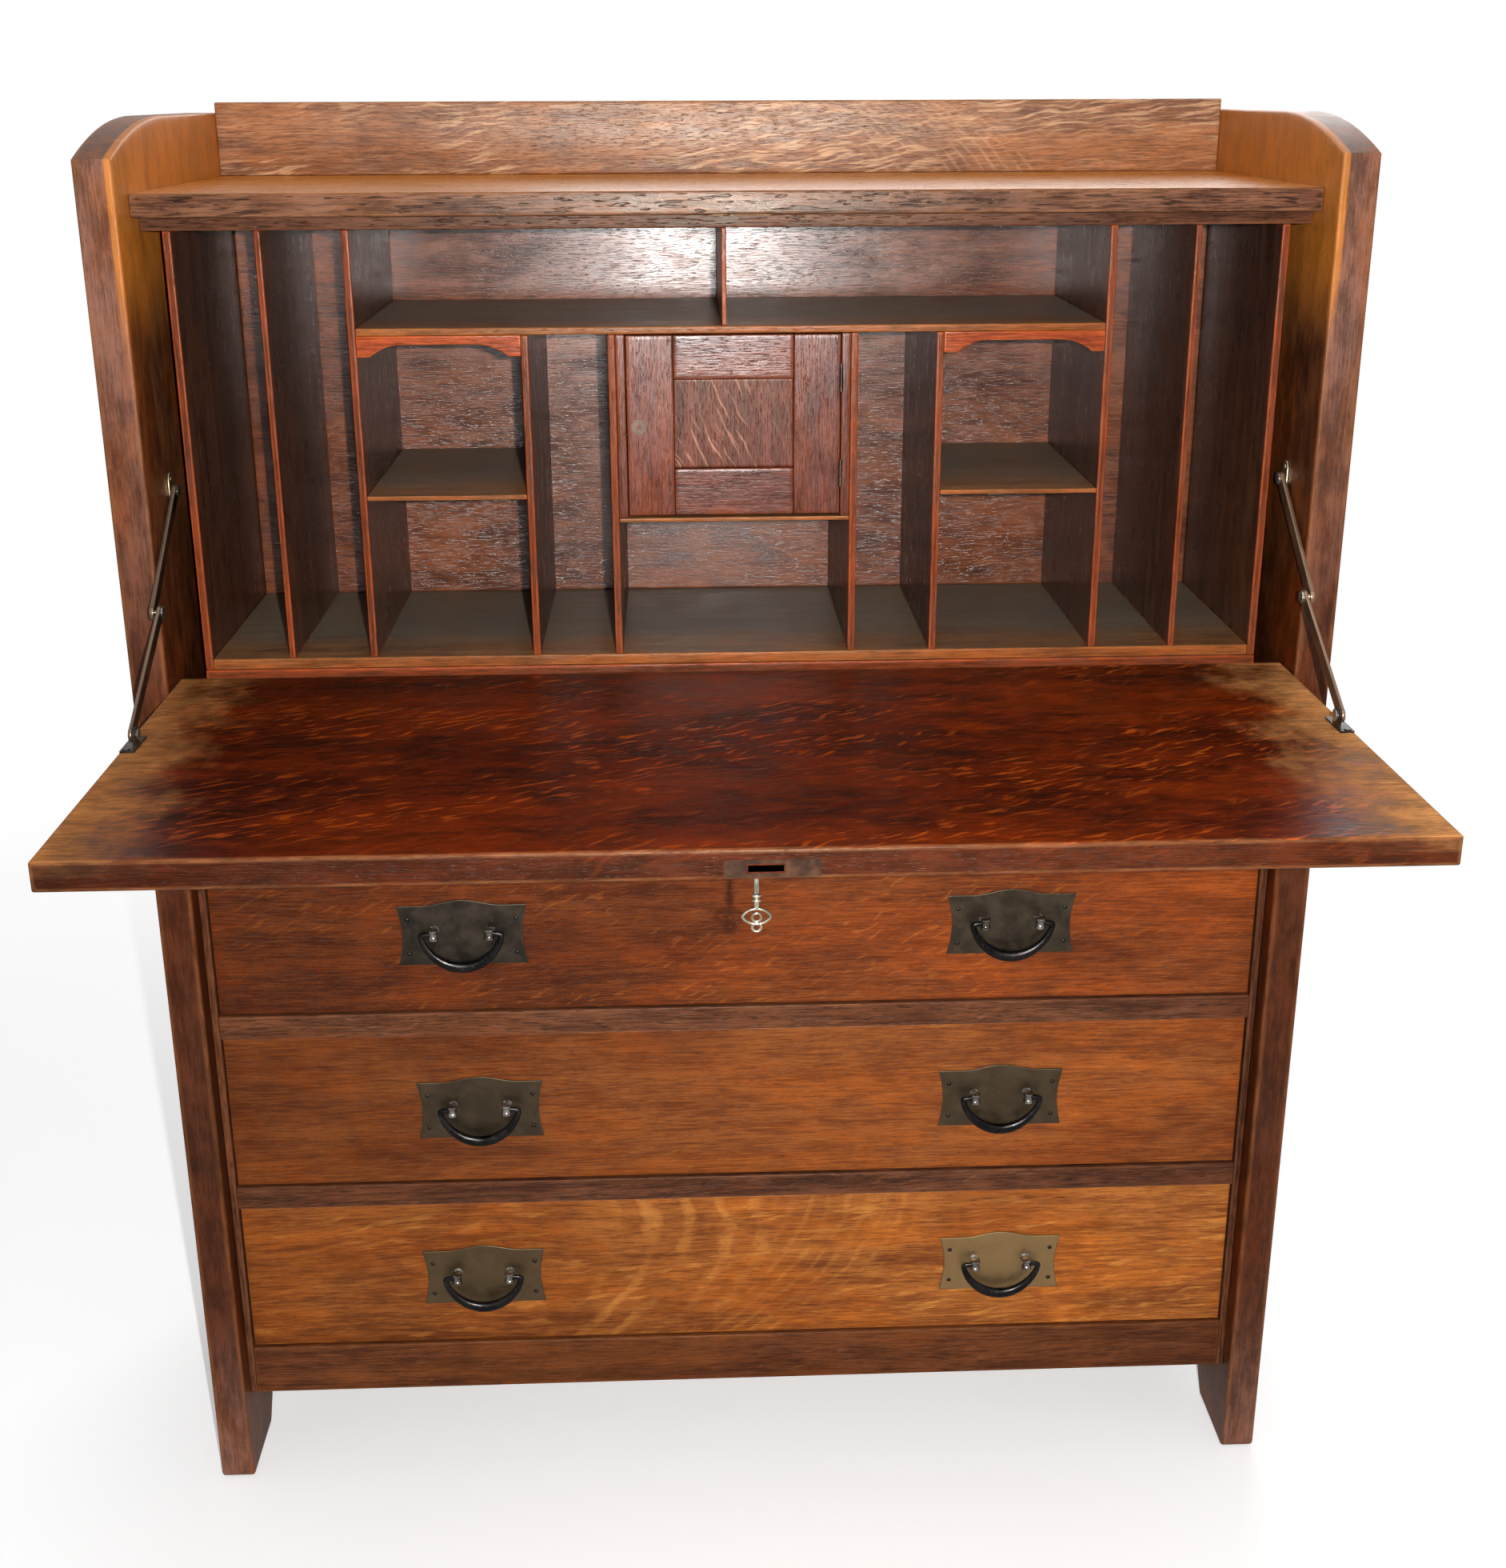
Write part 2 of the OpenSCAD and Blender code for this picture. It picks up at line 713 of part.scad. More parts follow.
module lock_face(extra) {
    block([lock_x - lock_face_w / 2, fall_front_y - extra, lock_z - lock_face_h / 2],
        [lock_x + lock_face_w / 2, fall_front_y + lock_face_t, lock_z + lock_face_h / 2]);
}

// A keyhole: a round hole for the stem and a slot for the bit.
module keyhole(low, high) {
    hole_r = stem_r + 0.3;
    slot_w = bit_t + 0.8;
    translate([key_x, key_y, low]) {
        cylinder(r = hole_r, h = high - low);
        translate([-slot_w / 2, 0, 0]) cube([slot_w, bit_r + 0.5, high - low]);
    }
}

module escutcheon(extra) {
    block([key_x - 10, key_y - 10, fall_z - extra], [key_x + 10, key_y + 22, fall_z + escutcheon_t]);
}

// The lock: its case with the face plate, and the keyhole plate on the outer face of the fall.
module fall_lock() {
    gap = slide_gap / 2;
    color(brass) {
        difference() {
            union() {
                lock_body(0);
                lock_face(0);
            }
            block([lock_x - lock_case_w / 2 + lock_wall, fall_front_y + lock_face_t, lock_z - lock_case_h / 2 + lock_wall],
                [lock_x + lock_case_w / 2 - lock_wall, fall_front_y + lock_face_t + lock_case_d - lock_wall,
                    lock_z + lock_case_h / 2 - lock_wall]);
            block([bolt_x - bolt_w / 2 - gap, fall_front_y - cut, lock_z - bolt_h / 2 - gap],
                [bolt_x + bolt_w / 2 + gap, fall_front_y + lock_face_t + cut, lock_z + bolt_h / 2 + gap]);
            keyhole(fall_z, lock_z);
        }
        difference() {
            escutcheon(0);
            keyhole(fall_z - cut, lock_z);
        }
    }
}

module lock_bolt() {
    color(brass) block([bolt_x - bolt_w / 2, fall_front_y, lock_z - bolt_h / 2],
        [bolt_x + bolt_w / 2, fall_front_y + bolt_l, lock_z + bolt_h / 2]);
}

// The key, standing in the lock with its bow below the open fall.
collar_r = 4.6;
collar_h = 1.8;
key_collars = [19.9, 23.3];
bow_top = 28;
bow_t = 2.6;
lobe_r = 5.4;
lobe_hole_r = 2.9;
lobe_x = 4.5;
lobe_z = 36.5;
tip_r = 3.6;
tip_hole_r = 1.5;
tip_z = 43.3;
module key() {
    bit_half = bolt_h / 2 - 0.2;
    color(steel) translate([key_x, key_y, fall_z]) {
        translate([0, 0, -bow_top - 4]) cylinder(r = stem_r, h = bow_top + 4 + lock_rise + bit_half);
        translate([-bit_t / 2, 0, lock_rise - bit_half]) cube([bit_t, bit_r, 2 * bit_half]);
        for (z = key_collars) translate([0, 0, -z - collar_h / 2]) cylinder(r = collar_r, h = collar_h);
        difference() {
            union() {
                for (x = [-lobe_x, lobe_x]) bow_disc(x, lobe_z, lobe_r, bow_t);
                bow_disc(0, tip_z, tip_r, bow_t);
                translate([-tip_r, -bow_t / 2, -lobe_z]) cube([2 * tip_r, bow_t, lobe_z - bow_top]);
            }
            for (x = [-lobe_x, lobe_x]) bow_disc(x, lobe_z, lobe_hole_r, 3 * bow_t);
            bow_disc(0, tip_z, tip_hole_r, 3 * bow_t);
        }
    }
}

module bow_disc(x, z, r, h) {
    translate([x, h / 2, -z]) rotate([90, 0, 0]) cylinder(r = r, h = h);
}

// The stays.

// A flat link with round ends between two pivots, from depth u0 to u1 inside the side panel.
module link(p, q, u0, u1) {
    d = q - p;
    translate([inner_x - u1, p[0], p[1]]) rotate([atan2(d[1], d[0]), 0, 0]) {
        rotate([0, 90, 0]) cylinder(r = link_r, h = u1 - u0);
        translate([0, norm(d), 0]) rotate([0, 90, 0]) cylinder(r = link_r, h = u1 - u0);
        translate([0, 0, -link_r]) cube([u1 - u0, norm(d), 2 * link_r]);
    }
}

// A round part of a stay on the pivot p, from depth u0 to u1.
module stay_disc(p, r, u0, u1) {
    rod(r, inner_x - u1, inner_x - u0, p[0], p[1]);
}

module stay_upper() {
    difference() {
        union() {
            link(stay_u, stay_m, upper_u, upper_u + link_t);
            stay_disc(stay_m, head_r, upper_u + link_t / 2, lower_u - slide_gap);
            stay_disc(stay_m, head_r, upper_u - head_t, upper_u + link_t / 2);
        }
        stay_disc(stay_u, stay_pin_r + pin_fit, 0, lower_u);
    }
}

module stay_lower() {
    difference() {
        union() {
            link(stay_f, stay_m, lower_u, lower_u + link_t);
            stay_disc(stay_m, head_r, lower_u + link_t / 2, lower_u + link_t + head_t);
        }
        stay_disc(stay_f, stay_pin_r + pin_fit, 0, lug_u + lug_t);
    }
}

module stay_upper_right() {
    color(steel) stay_upper();
}

module stay_upper_left() {
    color(steel) mirror([1, 0, 0]) stay_upper();
}

module stay_lower_right() {
    color(steel) stay_lower();
}

module stay_lower_left() {
    color(steel) mirror([1, 0, 0]) stay_lower();
}

// Brackets on the side panels, each with its pivot pin and two screws.
bracket_w = 14;
bracket_up = 34;
bracket_down = 8;
screw_r = 2.8;
screw_t = 0.8;
screw_z = [14, 26];
module stay_brackets() {
    y = stay_u[0];
    z = stay_u[1];
    color(steel) both_sides() {
        block([inner_x - bracket_t, y - bracket_w / 2, z - bracket_down], [inner_x, y + bracket_w / 2, z + bracket_up]);
        stay_disc(stay_u, link_r, bracket_t, upper_u - slide_gap);
        stay_disc(stay_u, stay_pin_r, bracket_t, upper_head_u + head_t);
        stay_disc(stay_u, head_r, upper_head_u, upper_head_u + head_t);
        for (s = screw_z) stay_disc([y, z + s], screw_r, bracket_t, bracket_t + screw_t);
    }
}

// Feet on the fall, each with an upright lug, a pivot pin and two screws.
foot_plate_t = 1.5;
foot_plate_back = 22;
foot_plate_front = 12;
foot_plate_u = 2.5;
lug_r = 6;
module stay_feet() {
    y = stay_f[0];
    z = fall_top + foot_plate_t;
    color(steel) both_sides() {
        block([inner_x - lug_u - lug_t, y - foot_plate_front, fall_top], [inner_x - foot_plate_u, y + foot_plate_back, z]);
        block([inner_x - lug_u - lug_t, y - lug_r, fall_top], [inner_x - lug_u, y + lug_r, stay_f[1]]);
        stay_disc(stay_f, lug_r, lug_u, lug_u + lug_t);
        stay_disc(stay_f, stay_pin_r, lower_u + 0.1, lug_u + lug_t + head_t);
        stay_disc(stay_f, head_r, lug_u + lug_t, lug_u + lug_t + head_t);
        for (s = [15.5, -8.5]) translate([inner_x - 6.5, y + s, z]) cylinder(r = screw_r, h = screw_t);
    }
}

// The cupboard door.

module door_frame() {
    y1 = door_y + door_t;
    color(oak) difference() {
        both_sides() block([panel_half_w, door_y, door_z], [door_half_w, y1, door_top]);
        door_leaves(cut);
        ring_hole(door_y - cut, door_y + 8);
    }
    color(oak) {
        block([-panel_half_w + glue, door_y, door_top - door_top_rail], [panel_half_w - glue, y1, door_top]);
        block([-panel_half_w + glue, door_y, door_z], [panel_half_w - glue, y1, door_z + door_low_rail]);
    }
}

module door_panel() {
    y = door_y + (door_t - door_panel_t) / 2;
    color(oak) block([-panel_half_w, y, door_z + door_low_rail],
        [panel_half_w, y + door_panel_t, door_top - door_top_rail]);
}

// Flat leaves let into the edge of the door.
module door_leaves(extra) {
    for (z = [cup_hinge_low, cup_hinge_high])
        block([door_half_w - cup_leaf_t, door_y - extra, z - cup_hinge_h / 2],
            [door_half_w + extra, door_y + cup_leaf_d, z + cup_hinge_h / 2]);
}

module ring_hole(y0, y1) {
    translate([ring_x, y0, ring_z]) rotate([-90, 0, 0]) cylinder(r = keyhole_r, h = y1 - y0);
}

// The door leaves of the cupboard hinges and the ring around the keyhole.
module door_fittings() {
    color(brass) {
        door_leaves(0);
        for (z = [cup_hinge_low, cup_hinge_high]) {
            low = z - cup_knuckle / 2 + slide_gap / 2;
            high = z + cup_knuckle / 2 - slide_gap / 2;
            difference() {
                union() {
                    cup_barrel(low, high - low, cup_barrel_r);
                    block([door_half_w - cup_leaf_t, cup_pin_y, low], [door_half_w, door_y + cut, high]);
                }
                cup_barrel(low - cut, high - low + 2 * cut, cup_barrel_r / 2 + pin_fit);
            }
        }
        difference() {
            translate([ring_x, door_y - 0.8, ring_z]) rotate([-90, 0, 0]) cylinder(r = ring_r, h = 0.8);
            ring_hole(door_y - 2 * cut, door_y + cut);
        }
    }
}

// The drawers, counted from the top.

module drawer_front(i) {
    color(oak) block([-open_x + front_gap, front_y, drawer_low[i] + front_gap],
        [open_x - front_gap, front_y + front_t, drawer_low[i] + open_h[i] - front_gap]);
}

// Two sides, a back and a bottom, each a board of its own.
module drawer_box(i) {
    low = drawer_low[i] + run_gap;
    high = drawer_low[i] + open_h[i] - box_low;
    y0 = front_y + front_t;
    y1 = front_y + drawer_d;
    color(dark_oak) {
        both_sides() block([box_x - box_t, y0, low], [box_x, y1, high]);
        block([-box_x + box_t + glue, y1 - box_t, low], [box_x - box_t - glue, y1, high]);
        block([-box_x + box_t + glue, y0, low + box_floor_up],
            [box_x - box_t - glue, y1 - box_t - glue, low + box_floor_up + box_floor_t]);
    }
}

function pull_z(i) = drawer_low[i] + open_h[i] / 2 - pull_drop + pull_lift[i];

// The middle of a pull of drawer i, where side is 0 on the left and 1 on the right.
function pull_place(i, side) = [(2 * side - 1) * pull_x + pull_shift[i][side], plate_y, pull_z(i)];

// Two pull plates with a low peak and hollow ends, each with two posts and four nails.
module drawer_pulls(i) {
    for (side = [0, 1]) color(bronze) translate(pull_place(i, side)) {
        pull_plate();
        for (s = [-1, 1]) translate([s * post_gap / 2, 0, post_rise]) pull_post();
        for (s = [-1, 1], z = [nail_up, -nail_down]) translate([s * (plate_w / 2 - nail_in), -nail_t, z])
            rotate([-90, 0, 0]) cylinder(r = nail_r, h = nail_t - glue);
    }
}

module pull_plate() {
    half_w = plate_w / 2;
    half_h = plate_h / 2;
    difference() {
        translate([0, plate_t, 0]) rotate([90, 0, 0]) linear_extrude(plate_t)
            polygon([[-half_w, -half_h], [half_w, -half_h], [half_w, half_h], [half_w * 2 / 3, half_h],
                [0, half_h + plate_peak], [-half_w * 2 / 3, half_h], [-half_w, half_h]]);
        for (s = [-1, 1]) translate([s * (half_w + side_cut_r - side_cut), -cut, 0]) rotate([-90, 0, 0])
            cylinder(r = side_cut_r, h = plate_t + 2 * cut, $fn = 96);
    }
}

// A post that ends in a round head with a cross hole for the bail.
module pull_post() {
    difference() {
        union() {
            translate([0, -post_reach, 0]) rotate([-90, 0, 0]) cylinder(r = post_r, h = post_reach - glue);
            translate([0, -post_reach - head_half, 0]) rotate([-90, 0, 0]) cylinder(r = ball_r, h = 2 * head_half);
        }
        translate([-ball_r - cut, -post_reach, 0]) rotate([0, 90, 0])
            cylinder(r = bail_pin_r + pin_fit, h = 2 * (ball_r + cut));
    }
}

// A bail: a half ring hanging from two pins that turn in the posts.
module bail(i, side) {
    color(bronze) translate(pull_place(i, side) + [0, -post_reach, post_rise]) {
        rotate([90, 0, 0]) rotate([0, 0, 180]) rotate_extrude(angle = 180) translate([bail_ring_r, 0]) circle(r = bail_r);
        for (s = [-1, 1]) {
            translate([s * bail_ring_r, 0, 0]) sphere(r = bail_r);
            rod(bail_pin_r, s > 0 ? post_gap / 2 - post_r : -bail_ring_r, s > 0 ? bail_ring_r : -post_gap / 2 + post_r, 0, 0);
        }
    }
}

side_left();
side_right();
top_shelf();
gallery_board();
stop_rail();
bed_board();
case_back();
drawer_rails();
bottom_rail();
frame_stiles();
frieze_board();
drawer_runners();
unit_base();
unit_floor();
unit_walls();
unit_top();
unit_back();
outer_dividers();
main_partitions();
inner_partitions();
centre_divider();
wide_shelf();
cubby_shelves();
valances();
door_shelf();
door_jambs();
bed_hinges();
stay_brackets();
keeper_plate();
jamb_hinges();
fall_board();
fall_lock();
stay_feet();
fall_hinges();
lock_bolt();
key();
stay_upper_left();
stay_upper_right();
stay_lower_left();
stay_lower_right();
door_frame();
door_panel();
door_fittings();
drawer_front(0);  // drawer_1_front
drawer_box(0);  // drawer_1_box
drawer_pulls(0);  // drawer_1_pulls
bail(0, 0);  // bail_1_left
bail(0, 1);  // bail_1_right
drawer_front(1);  // drawer_2_front
drawer_box(1);  // drawer_2_box
drawer_pulls(1);  // drawer_2_pulls
bail(1, 0);  // bail_2_left
bail(1, 1);  // bail_2_right
drawer_front(2);  // drawer_3_front
drawer_box(2);  // drawer_3_box
drawer_pulls(2);  // drawer_3_pulls
bail(2, 0);  // bail_3_left
bail(2, 1);  // bail_3_right
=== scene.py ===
import json
import math
import bpy
import numpy as np
from mathutils import Matrix, Vector

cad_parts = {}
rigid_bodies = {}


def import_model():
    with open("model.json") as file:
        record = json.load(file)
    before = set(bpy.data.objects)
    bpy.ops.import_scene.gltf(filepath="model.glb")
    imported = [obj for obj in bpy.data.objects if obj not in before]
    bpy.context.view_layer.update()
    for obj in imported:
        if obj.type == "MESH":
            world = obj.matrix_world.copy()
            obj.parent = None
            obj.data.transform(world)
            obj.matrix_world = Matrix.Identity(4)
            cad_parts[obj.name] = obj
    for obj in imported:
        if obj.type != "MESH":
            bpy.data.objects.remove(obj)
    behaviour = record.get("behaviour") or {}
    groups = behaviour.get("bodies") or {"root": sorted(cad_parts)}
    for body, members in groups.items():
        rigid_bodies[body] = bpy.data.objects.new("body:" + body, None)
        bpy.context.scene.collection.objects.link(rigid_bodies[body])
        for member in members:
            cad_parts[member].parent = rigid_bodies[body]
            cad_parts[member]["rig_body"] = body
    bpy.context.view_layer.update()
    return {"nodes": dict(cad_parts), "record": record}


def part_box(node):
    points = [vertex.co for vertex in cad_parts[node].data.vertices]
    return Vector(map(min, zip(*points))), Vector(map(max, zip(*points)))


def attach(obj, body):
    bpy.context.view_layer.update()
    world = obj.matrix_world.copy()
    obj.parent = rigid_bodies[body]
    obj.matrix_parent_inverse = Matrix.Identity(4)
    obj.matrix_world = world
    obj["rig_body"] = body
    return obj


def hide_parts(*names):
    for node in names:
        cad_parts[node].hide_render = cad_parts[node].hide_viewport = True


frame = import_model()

rng = np.random.default_rng(7)
mm = 0.001
tau = 2 * math.pi


# Small helpers

def linear(colour):
    # a colour written as 0 to 255 screen values, turned to linear light
    c = np.asarray(colour, float) / 255
    low = c / 12.92
    high = ((c + 0.055) / 1.055) ** 2.4
    return (*np.where(c <= 0.04045, low, high), 1.0)


def sized(**lengths):
    # lengths in mm, turned to metres
    return {name: np.multiply(length, mm) for name, length in lengths.items()}


def unit(v):
    # each vector divided by its length
    return v / np.linalg.norm(v, axis=-1, keepdims=True)


def placed(name, data):
    # a new object in the scene
    made = bpy.data.objects.new(name, data)
    bpy.context.scene.collection.objects.link(made)
    return made


def partBoxes(node):
    # the box of each loose solid in a node: corners at one place count as one, each takes the lowest number
    # that it can reach along the edges, and corners with one number are one solid
    mesh = frame["nodes"][node].data
    co = np.zeros(3 * len(mesh.vertices))
    mesh.vertices.foreach_get("co", co)
    co = co.reshape(-1, 3)
    _, first, place = np.unique(co.round(6), axis=0, return_index=True, return_inverse=True)
    edges = np.zeros(2 * len(mesh.edges), int)
    mesh.edges.foreach_get("vertices", edges)
    edges = first[place.ravel()][edges].reshape(-1, 2)
    number = first[place.ravel()]
    settled = False
    while not settled:
        before = number.copy()
        lowest = number[edges].min(1)
        np.minimum.at(number, edges[:, 0], lowest)
        np.minimum.at(number, edges[:, 1], lowest)
        number = np.minimum(number, number[number])
        settled = np.array_equal(before, number)
    return [(co[number == n].min(0), co[number == n].max(0)) for n in np.unique(number)]


def gridFaces(rings, count, closed=False):
    # quads between neighbouring rings of count points, each ring closed on itself
    i, j = np.meshgrid(np.arange(rings if closed else rings - 1), np.arange(count), indexing="ij")
    k = (i + 1) % rings
    n = (j + 1) % count
    corners = [i * count + j, i * count + n, k * count + n, k * count + j]
    return np.stack(corners, -1).reshape(-1, 4).tolist()


def capFaces(rings, count):
    # one flat face over the first ring and one over the last
    return [list(range(count))[::-1], list(range((rings - 1) * count, rings * count))]


# Surfaces

boardShape = {**sized(arris=0.9, wearBand=2.5, seam=0.1), "cornerSteps": 3}


def roundedBoard(low, high, along, arris=None, band=None):
    # a rounded rectangle carried along the board's length: P(s, q) = centre + path(s) + profile(q), drawn in
    # by inset(s), which runs with path(s) round a quarter circle at both ends; wear is 1 on the arrises
    low = np.asarray(low, float) + boardShape["seam"]
    high = np.asarray(high, float) - boardShape["seam"]
    centre = (low + high) / 2
    half = (high - low) / 2
    path = int(np.argmax(half))
    cross = [i for i in range(3) if i != path]
    r = min(arris or boardShape["arris"], 0.4 * half.min())
    edge = min(band or boardShape["wearBand"], 0.5 * half.min())
    steps = boardShape["cornerSteps"]
    turn = np.linspace(0, math.pi / 2, steps + 1)
    length = half[path]
    stations = [(-length, r + edge, 0)]
    stations += [(-length + r - r * math.cos(t), r - r * math.sin(t), 1) for t in turn]
    stations += [(-length + r + edge, 0, 0)]
    stations += [(-p, d, w) for p, d, w in stations[::-1]]
    pathAt, inset, flat = (np.array(c)[:, None] for c in zip(*stations))
    reach = np.maximum(inset, r)
    radius = np.maximum(r - inset, 0.02 * r)
    give = np.minimum(edge, 0.8 * (half[cross].min() - reach + radius))
    us, vs, ws = [], [], []
    signs = [(1, 1), (-1, 1), (-1, -1), (1, -1)]
    for n, (sx, sy) in enumerate(signs):
        cx = sx * (half[cross[0]] - reach)
        cy = sy * (half[cross[1]] - reach)
        t = turn + n * math.pi / 2
        u = cx + radius * np.cos(t)
        v = cy + radius * np.sin(t)
        ax, ay = (0, -sy * give) if n % 2 == 0 else (-sx * give, 0)
        bx, by = (-sx * give, 0) if n % 2 == 0 else (0, -sy * give)
        us.append(np.hstack([u[:, :1] + ax, u, u[:, -1:] + bx]))
        vs.append(np.hstack([v[:, :1] + ay, v, v[:, -1:] + by]))
        ws.append(np.hstack([[0], np.ones(steps + 1), [0]]))
    u, v = np.hstack(us), np.hstack(vs)
    wear = np.maximum(np.hstack(ws)[None, :] * np.ones_like(flat), flat)
    wear[[0, -1]] = 0
    co = np.zeros((*u.shape, 3))
    co[..., path] = pathAt
    co[..., cross[0]] = u
    co[..., cross[1]] = v
    return boardSurface((co + centre).reshape(-1, 3), u.shape, [*cross, path], wear.ravel(), along)


def boardSurface(co, grid, axes, wear, along):
    # closes a grid of rings into a board, facing outwards. Grain coordinates run first along the grain, then
    # across it, moved to a place of their own; tone makes the board lighter or darker
    faces = gridFaces(*grid) + capFaces(*grid)
    if np.linalg.det(np.eye(3)[:, axes]) < 0:
        faces = [f[::-1] for f in faces]
    order = [along] + [i for i in range(3) if i != along]
    grain = co[:, order] - co[:, order].mean(0) + rng.uniform(-5, 5, 3)
    return {"co": co, "faces": faces, "wear": wear, "grain": grain, "tone": rng.uniform(-1, 1)}


def offsetOutline(points, d):
    # each point of a closed outline moved inward by d along the mitre of its two edges
    ahead = unit(np.roll(points, -1, 0) - points)
    normal = np.stack([-ahead[:, 1], ahead[:, 0]], 1)
    mitre = normal + np.roll(normal, 1, 0)
    scale = 2 / np.maximum((mitre ** 2).sum(1, keepdims=True), 0.4)
    return points + d * mitre * scale


def roundedSlab(outline, t0, t1, axis, along, arris=None, band=None):
    # an outline, counter-clockwise in the plane across axis, carried from t0 to t1 and drawn in by a quarter
    # circle at both faces: P(s, q) = outline(q) moved in by inset(s), at depth(s)
    t0, t1 = t0 + boardShape["seam"], t1 - boardShape["seam"]
    thick = t1 - t0
    r = min(arris or boardShape["arris"], 0.45 * thick)
    edge = min(band or boardShape["wearBand"], 2 * thick)
    turn = np.linspace(0, math.pi / 2, boardShape["cornerSteps"] + 1)
    rings = [(t0, r + edge, 0)] + [(t0 + r - r * math.cos(t), r - r * math.sin(t), 1) for t in turn]
    middle = [(t0 + r + edge, 0, 0)] if thick > 3 * (r + edge) else []
    back = [(t0 + t1 - t, d, w) for t, d, w in (rings + middle)[::-1]]
    rings = rings + middle + back
    plane = [i for i in range(3) if i != axis]
    co = np.zeros((len(rings), len(outline), 3))
    for k, (t, d, w) in enumerate(rings):
        co[k][:, plane] = offsetOutline(outline, d)
        co[k][:, axis] = t
    wear = np.repeat([w for t, d, w in rings], len(outline)).astype(float)
    return boardSurface(co.reshape(-1, 3), co.shape[:2], [*plane, axis], wear, along)


def arc(cx, cy, r, a0, a1, steps):
    # points on a circle from angle a0 to a1, in degrees
    a = np.radians(np.linspace(a0, a1, steps + 1))
    return np.stack([cx + r * np.cos(a), cy + r * np.sin(a)], 1)


def tube(centre, radius, closed=False, steps=20, squash=1.0):
    # a circle carried along a path: P(s, q) = centre(s) + radius(s) (cos q * side(s) + sin q * up(s))
    ahead = np.gradient(centre, axis=0)
    if closed:
        ahead = np.roll(centre, -1, 0) - np.roll(centre, 1, 0)
    ahead = unit(ahead)
    side = unit(np.cross(ahead, [0, 1.0, 0]))
    up = np.cross(side, ahead) * squash
    q = np.arange(steps) / steps * tau
    ring = np.cos(q)[None, :, None] * side[:, None] + np.sin(q)[None, :, None] * up[:, None]
    co = centre[:, None] + np.broadcast_to(radius, len(centre))[:, None, None] * ring
    faces = gridFaces(len(centre), steps, closed)
    if not closed:
        faces += capFaces(len(centre), steps)
    faces = [f[::-1] for f in faces]
    return {"co": co.reshape(-1, 3), "faces": faces, "wear": np.zeros(co.size // 3)}


def lathe(profile, base, axis, steps=28):
    # a profile of (radius, height) turned round an axis: P(s, q) = base + h(s) axis + r(s) ring(q)
    axis = np.asarray(axis, float)
    side = unit(np.cross(axis, [0.3, 0.5, 0.8]))
    up = np.cross(axis, side)
    profile = np.asarray(profile, float)
    q = np.arange(steps) / steps * tau
    ring = np.cos(q)[None, :, None] * side + np.sin(q)[None, :, None] * up
    r = np.maximum(profile[:, 0], 1e-5)[:, None, None]
    h = profile[:, 1][:, None, None]
    co = np.asarray(base) + h * axis + r * ring
    faces = gridFaces(len(profile), steps) + capFaces(len(profile), steps)
    return {"co": co.reshape(-1, 3), "faces": faces, "wear": np.zeros(co.size // 3)}


def makePiece(name, surfaces, finish, body, nodes=()):
    # joins surfaces into one mesh with their grain, wear and tone, and puts it on its body
    co, faces, wear, grain, tone = [], [], [], [], []
    start = 0
    for s in surfaces:
        n = len(s["co"])
        co.append(s["co"])
        faces += [[i + start for i in f] for f in s["faces"]]
        wear.append(s["wear"])
        grain.append(s.get("grain", s["co"]))
        tone.append(np.full(n, s.get("tone", 0.0)))
        start += n
    mesh = bpy.data.meshes.new(name)
    mesh.from_pydata(np.vstack(co), [], faces)
    for key, kind, field, values in (("grain", "FLOAT_VECTOR", "vector", np.vstack(grain)),
                                     ("wear", "FLOAT", "value", np.hstack(wear)),
                                     ("tone", "FLOAT", "value", np.hstack(tone))):
        mesh.attributes.new(key, kind, "POINT").data.foreach_set(field, values.ravel())
    mesh.polygons.foreach_set("use_smooth", np.ones(len(mesh.polygons), bool))
    mesh.set_sharp_from_angle(angle=sharpFrom)
    mesh.materials.append(finishes[finish])
    mesh.update()
    obj = placed(name, mesh)
    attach(obj, body)
    if nodes:
        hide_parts(*nodes)


sharpFrom = math.radians(40)
joints = frame["record"]["behaviour"]["joints"]
jointPlace = {j["name"]: np.array(j["pos_m"]) for j in joints if "pos_m" in j}


# Camera, at the place found from the straight edges in the photograph

cameraView = dict(place=(-0.0439, -1.4282, 1.2192), turn=0.0386, down=0.3267, roll=-0.0037, focal=2328.0,
                  middle=(940.16, 900.56), frame=(1883, 1960))


def makeCamera():
    # a camera that looks along ahead, after a turn to the side, a tilt down and a roll
    turn, down, roll = (cameraView[k] for k in ("turn", "down", "roll"))
    ahead = Vector((math.sin(turn) * math.cos(down), math.cos(turn) * math.cos(down), -math.sin(down)))
    level = Vector((math.cos(turn), -math.sin(turn), 0))
    rise = level.cross(ahead)
    right = level * math.cos(roll) + rise * math.sin(roll)
    up = rise * math.cos(roll) - level * math.sin(roll)
    wide, tall = cameraView["frame"]
    data = bpy.data.cameras.new("camera")
    data.sensor_width = 36
    data.lens = cameraView["focal"] * data.sensor_width / tall
    data.shift_x = (wide / 2 - cameraView["middle"][0]) / tall
    data.shift_y = (cameraView["middle"][1] - tall / 2) / tall
    data.clip_start = 0.05
    data.clip_end = 60
    camera = placed("camera", data)
    camera.matrix_world = Matrix((*zip(right, up, -ahead, cameraView["place"]), (0, 0, 0, 1)))
    bpy.context.scene.camera = camera


makeCamera()
print("camera ready")


# Materials

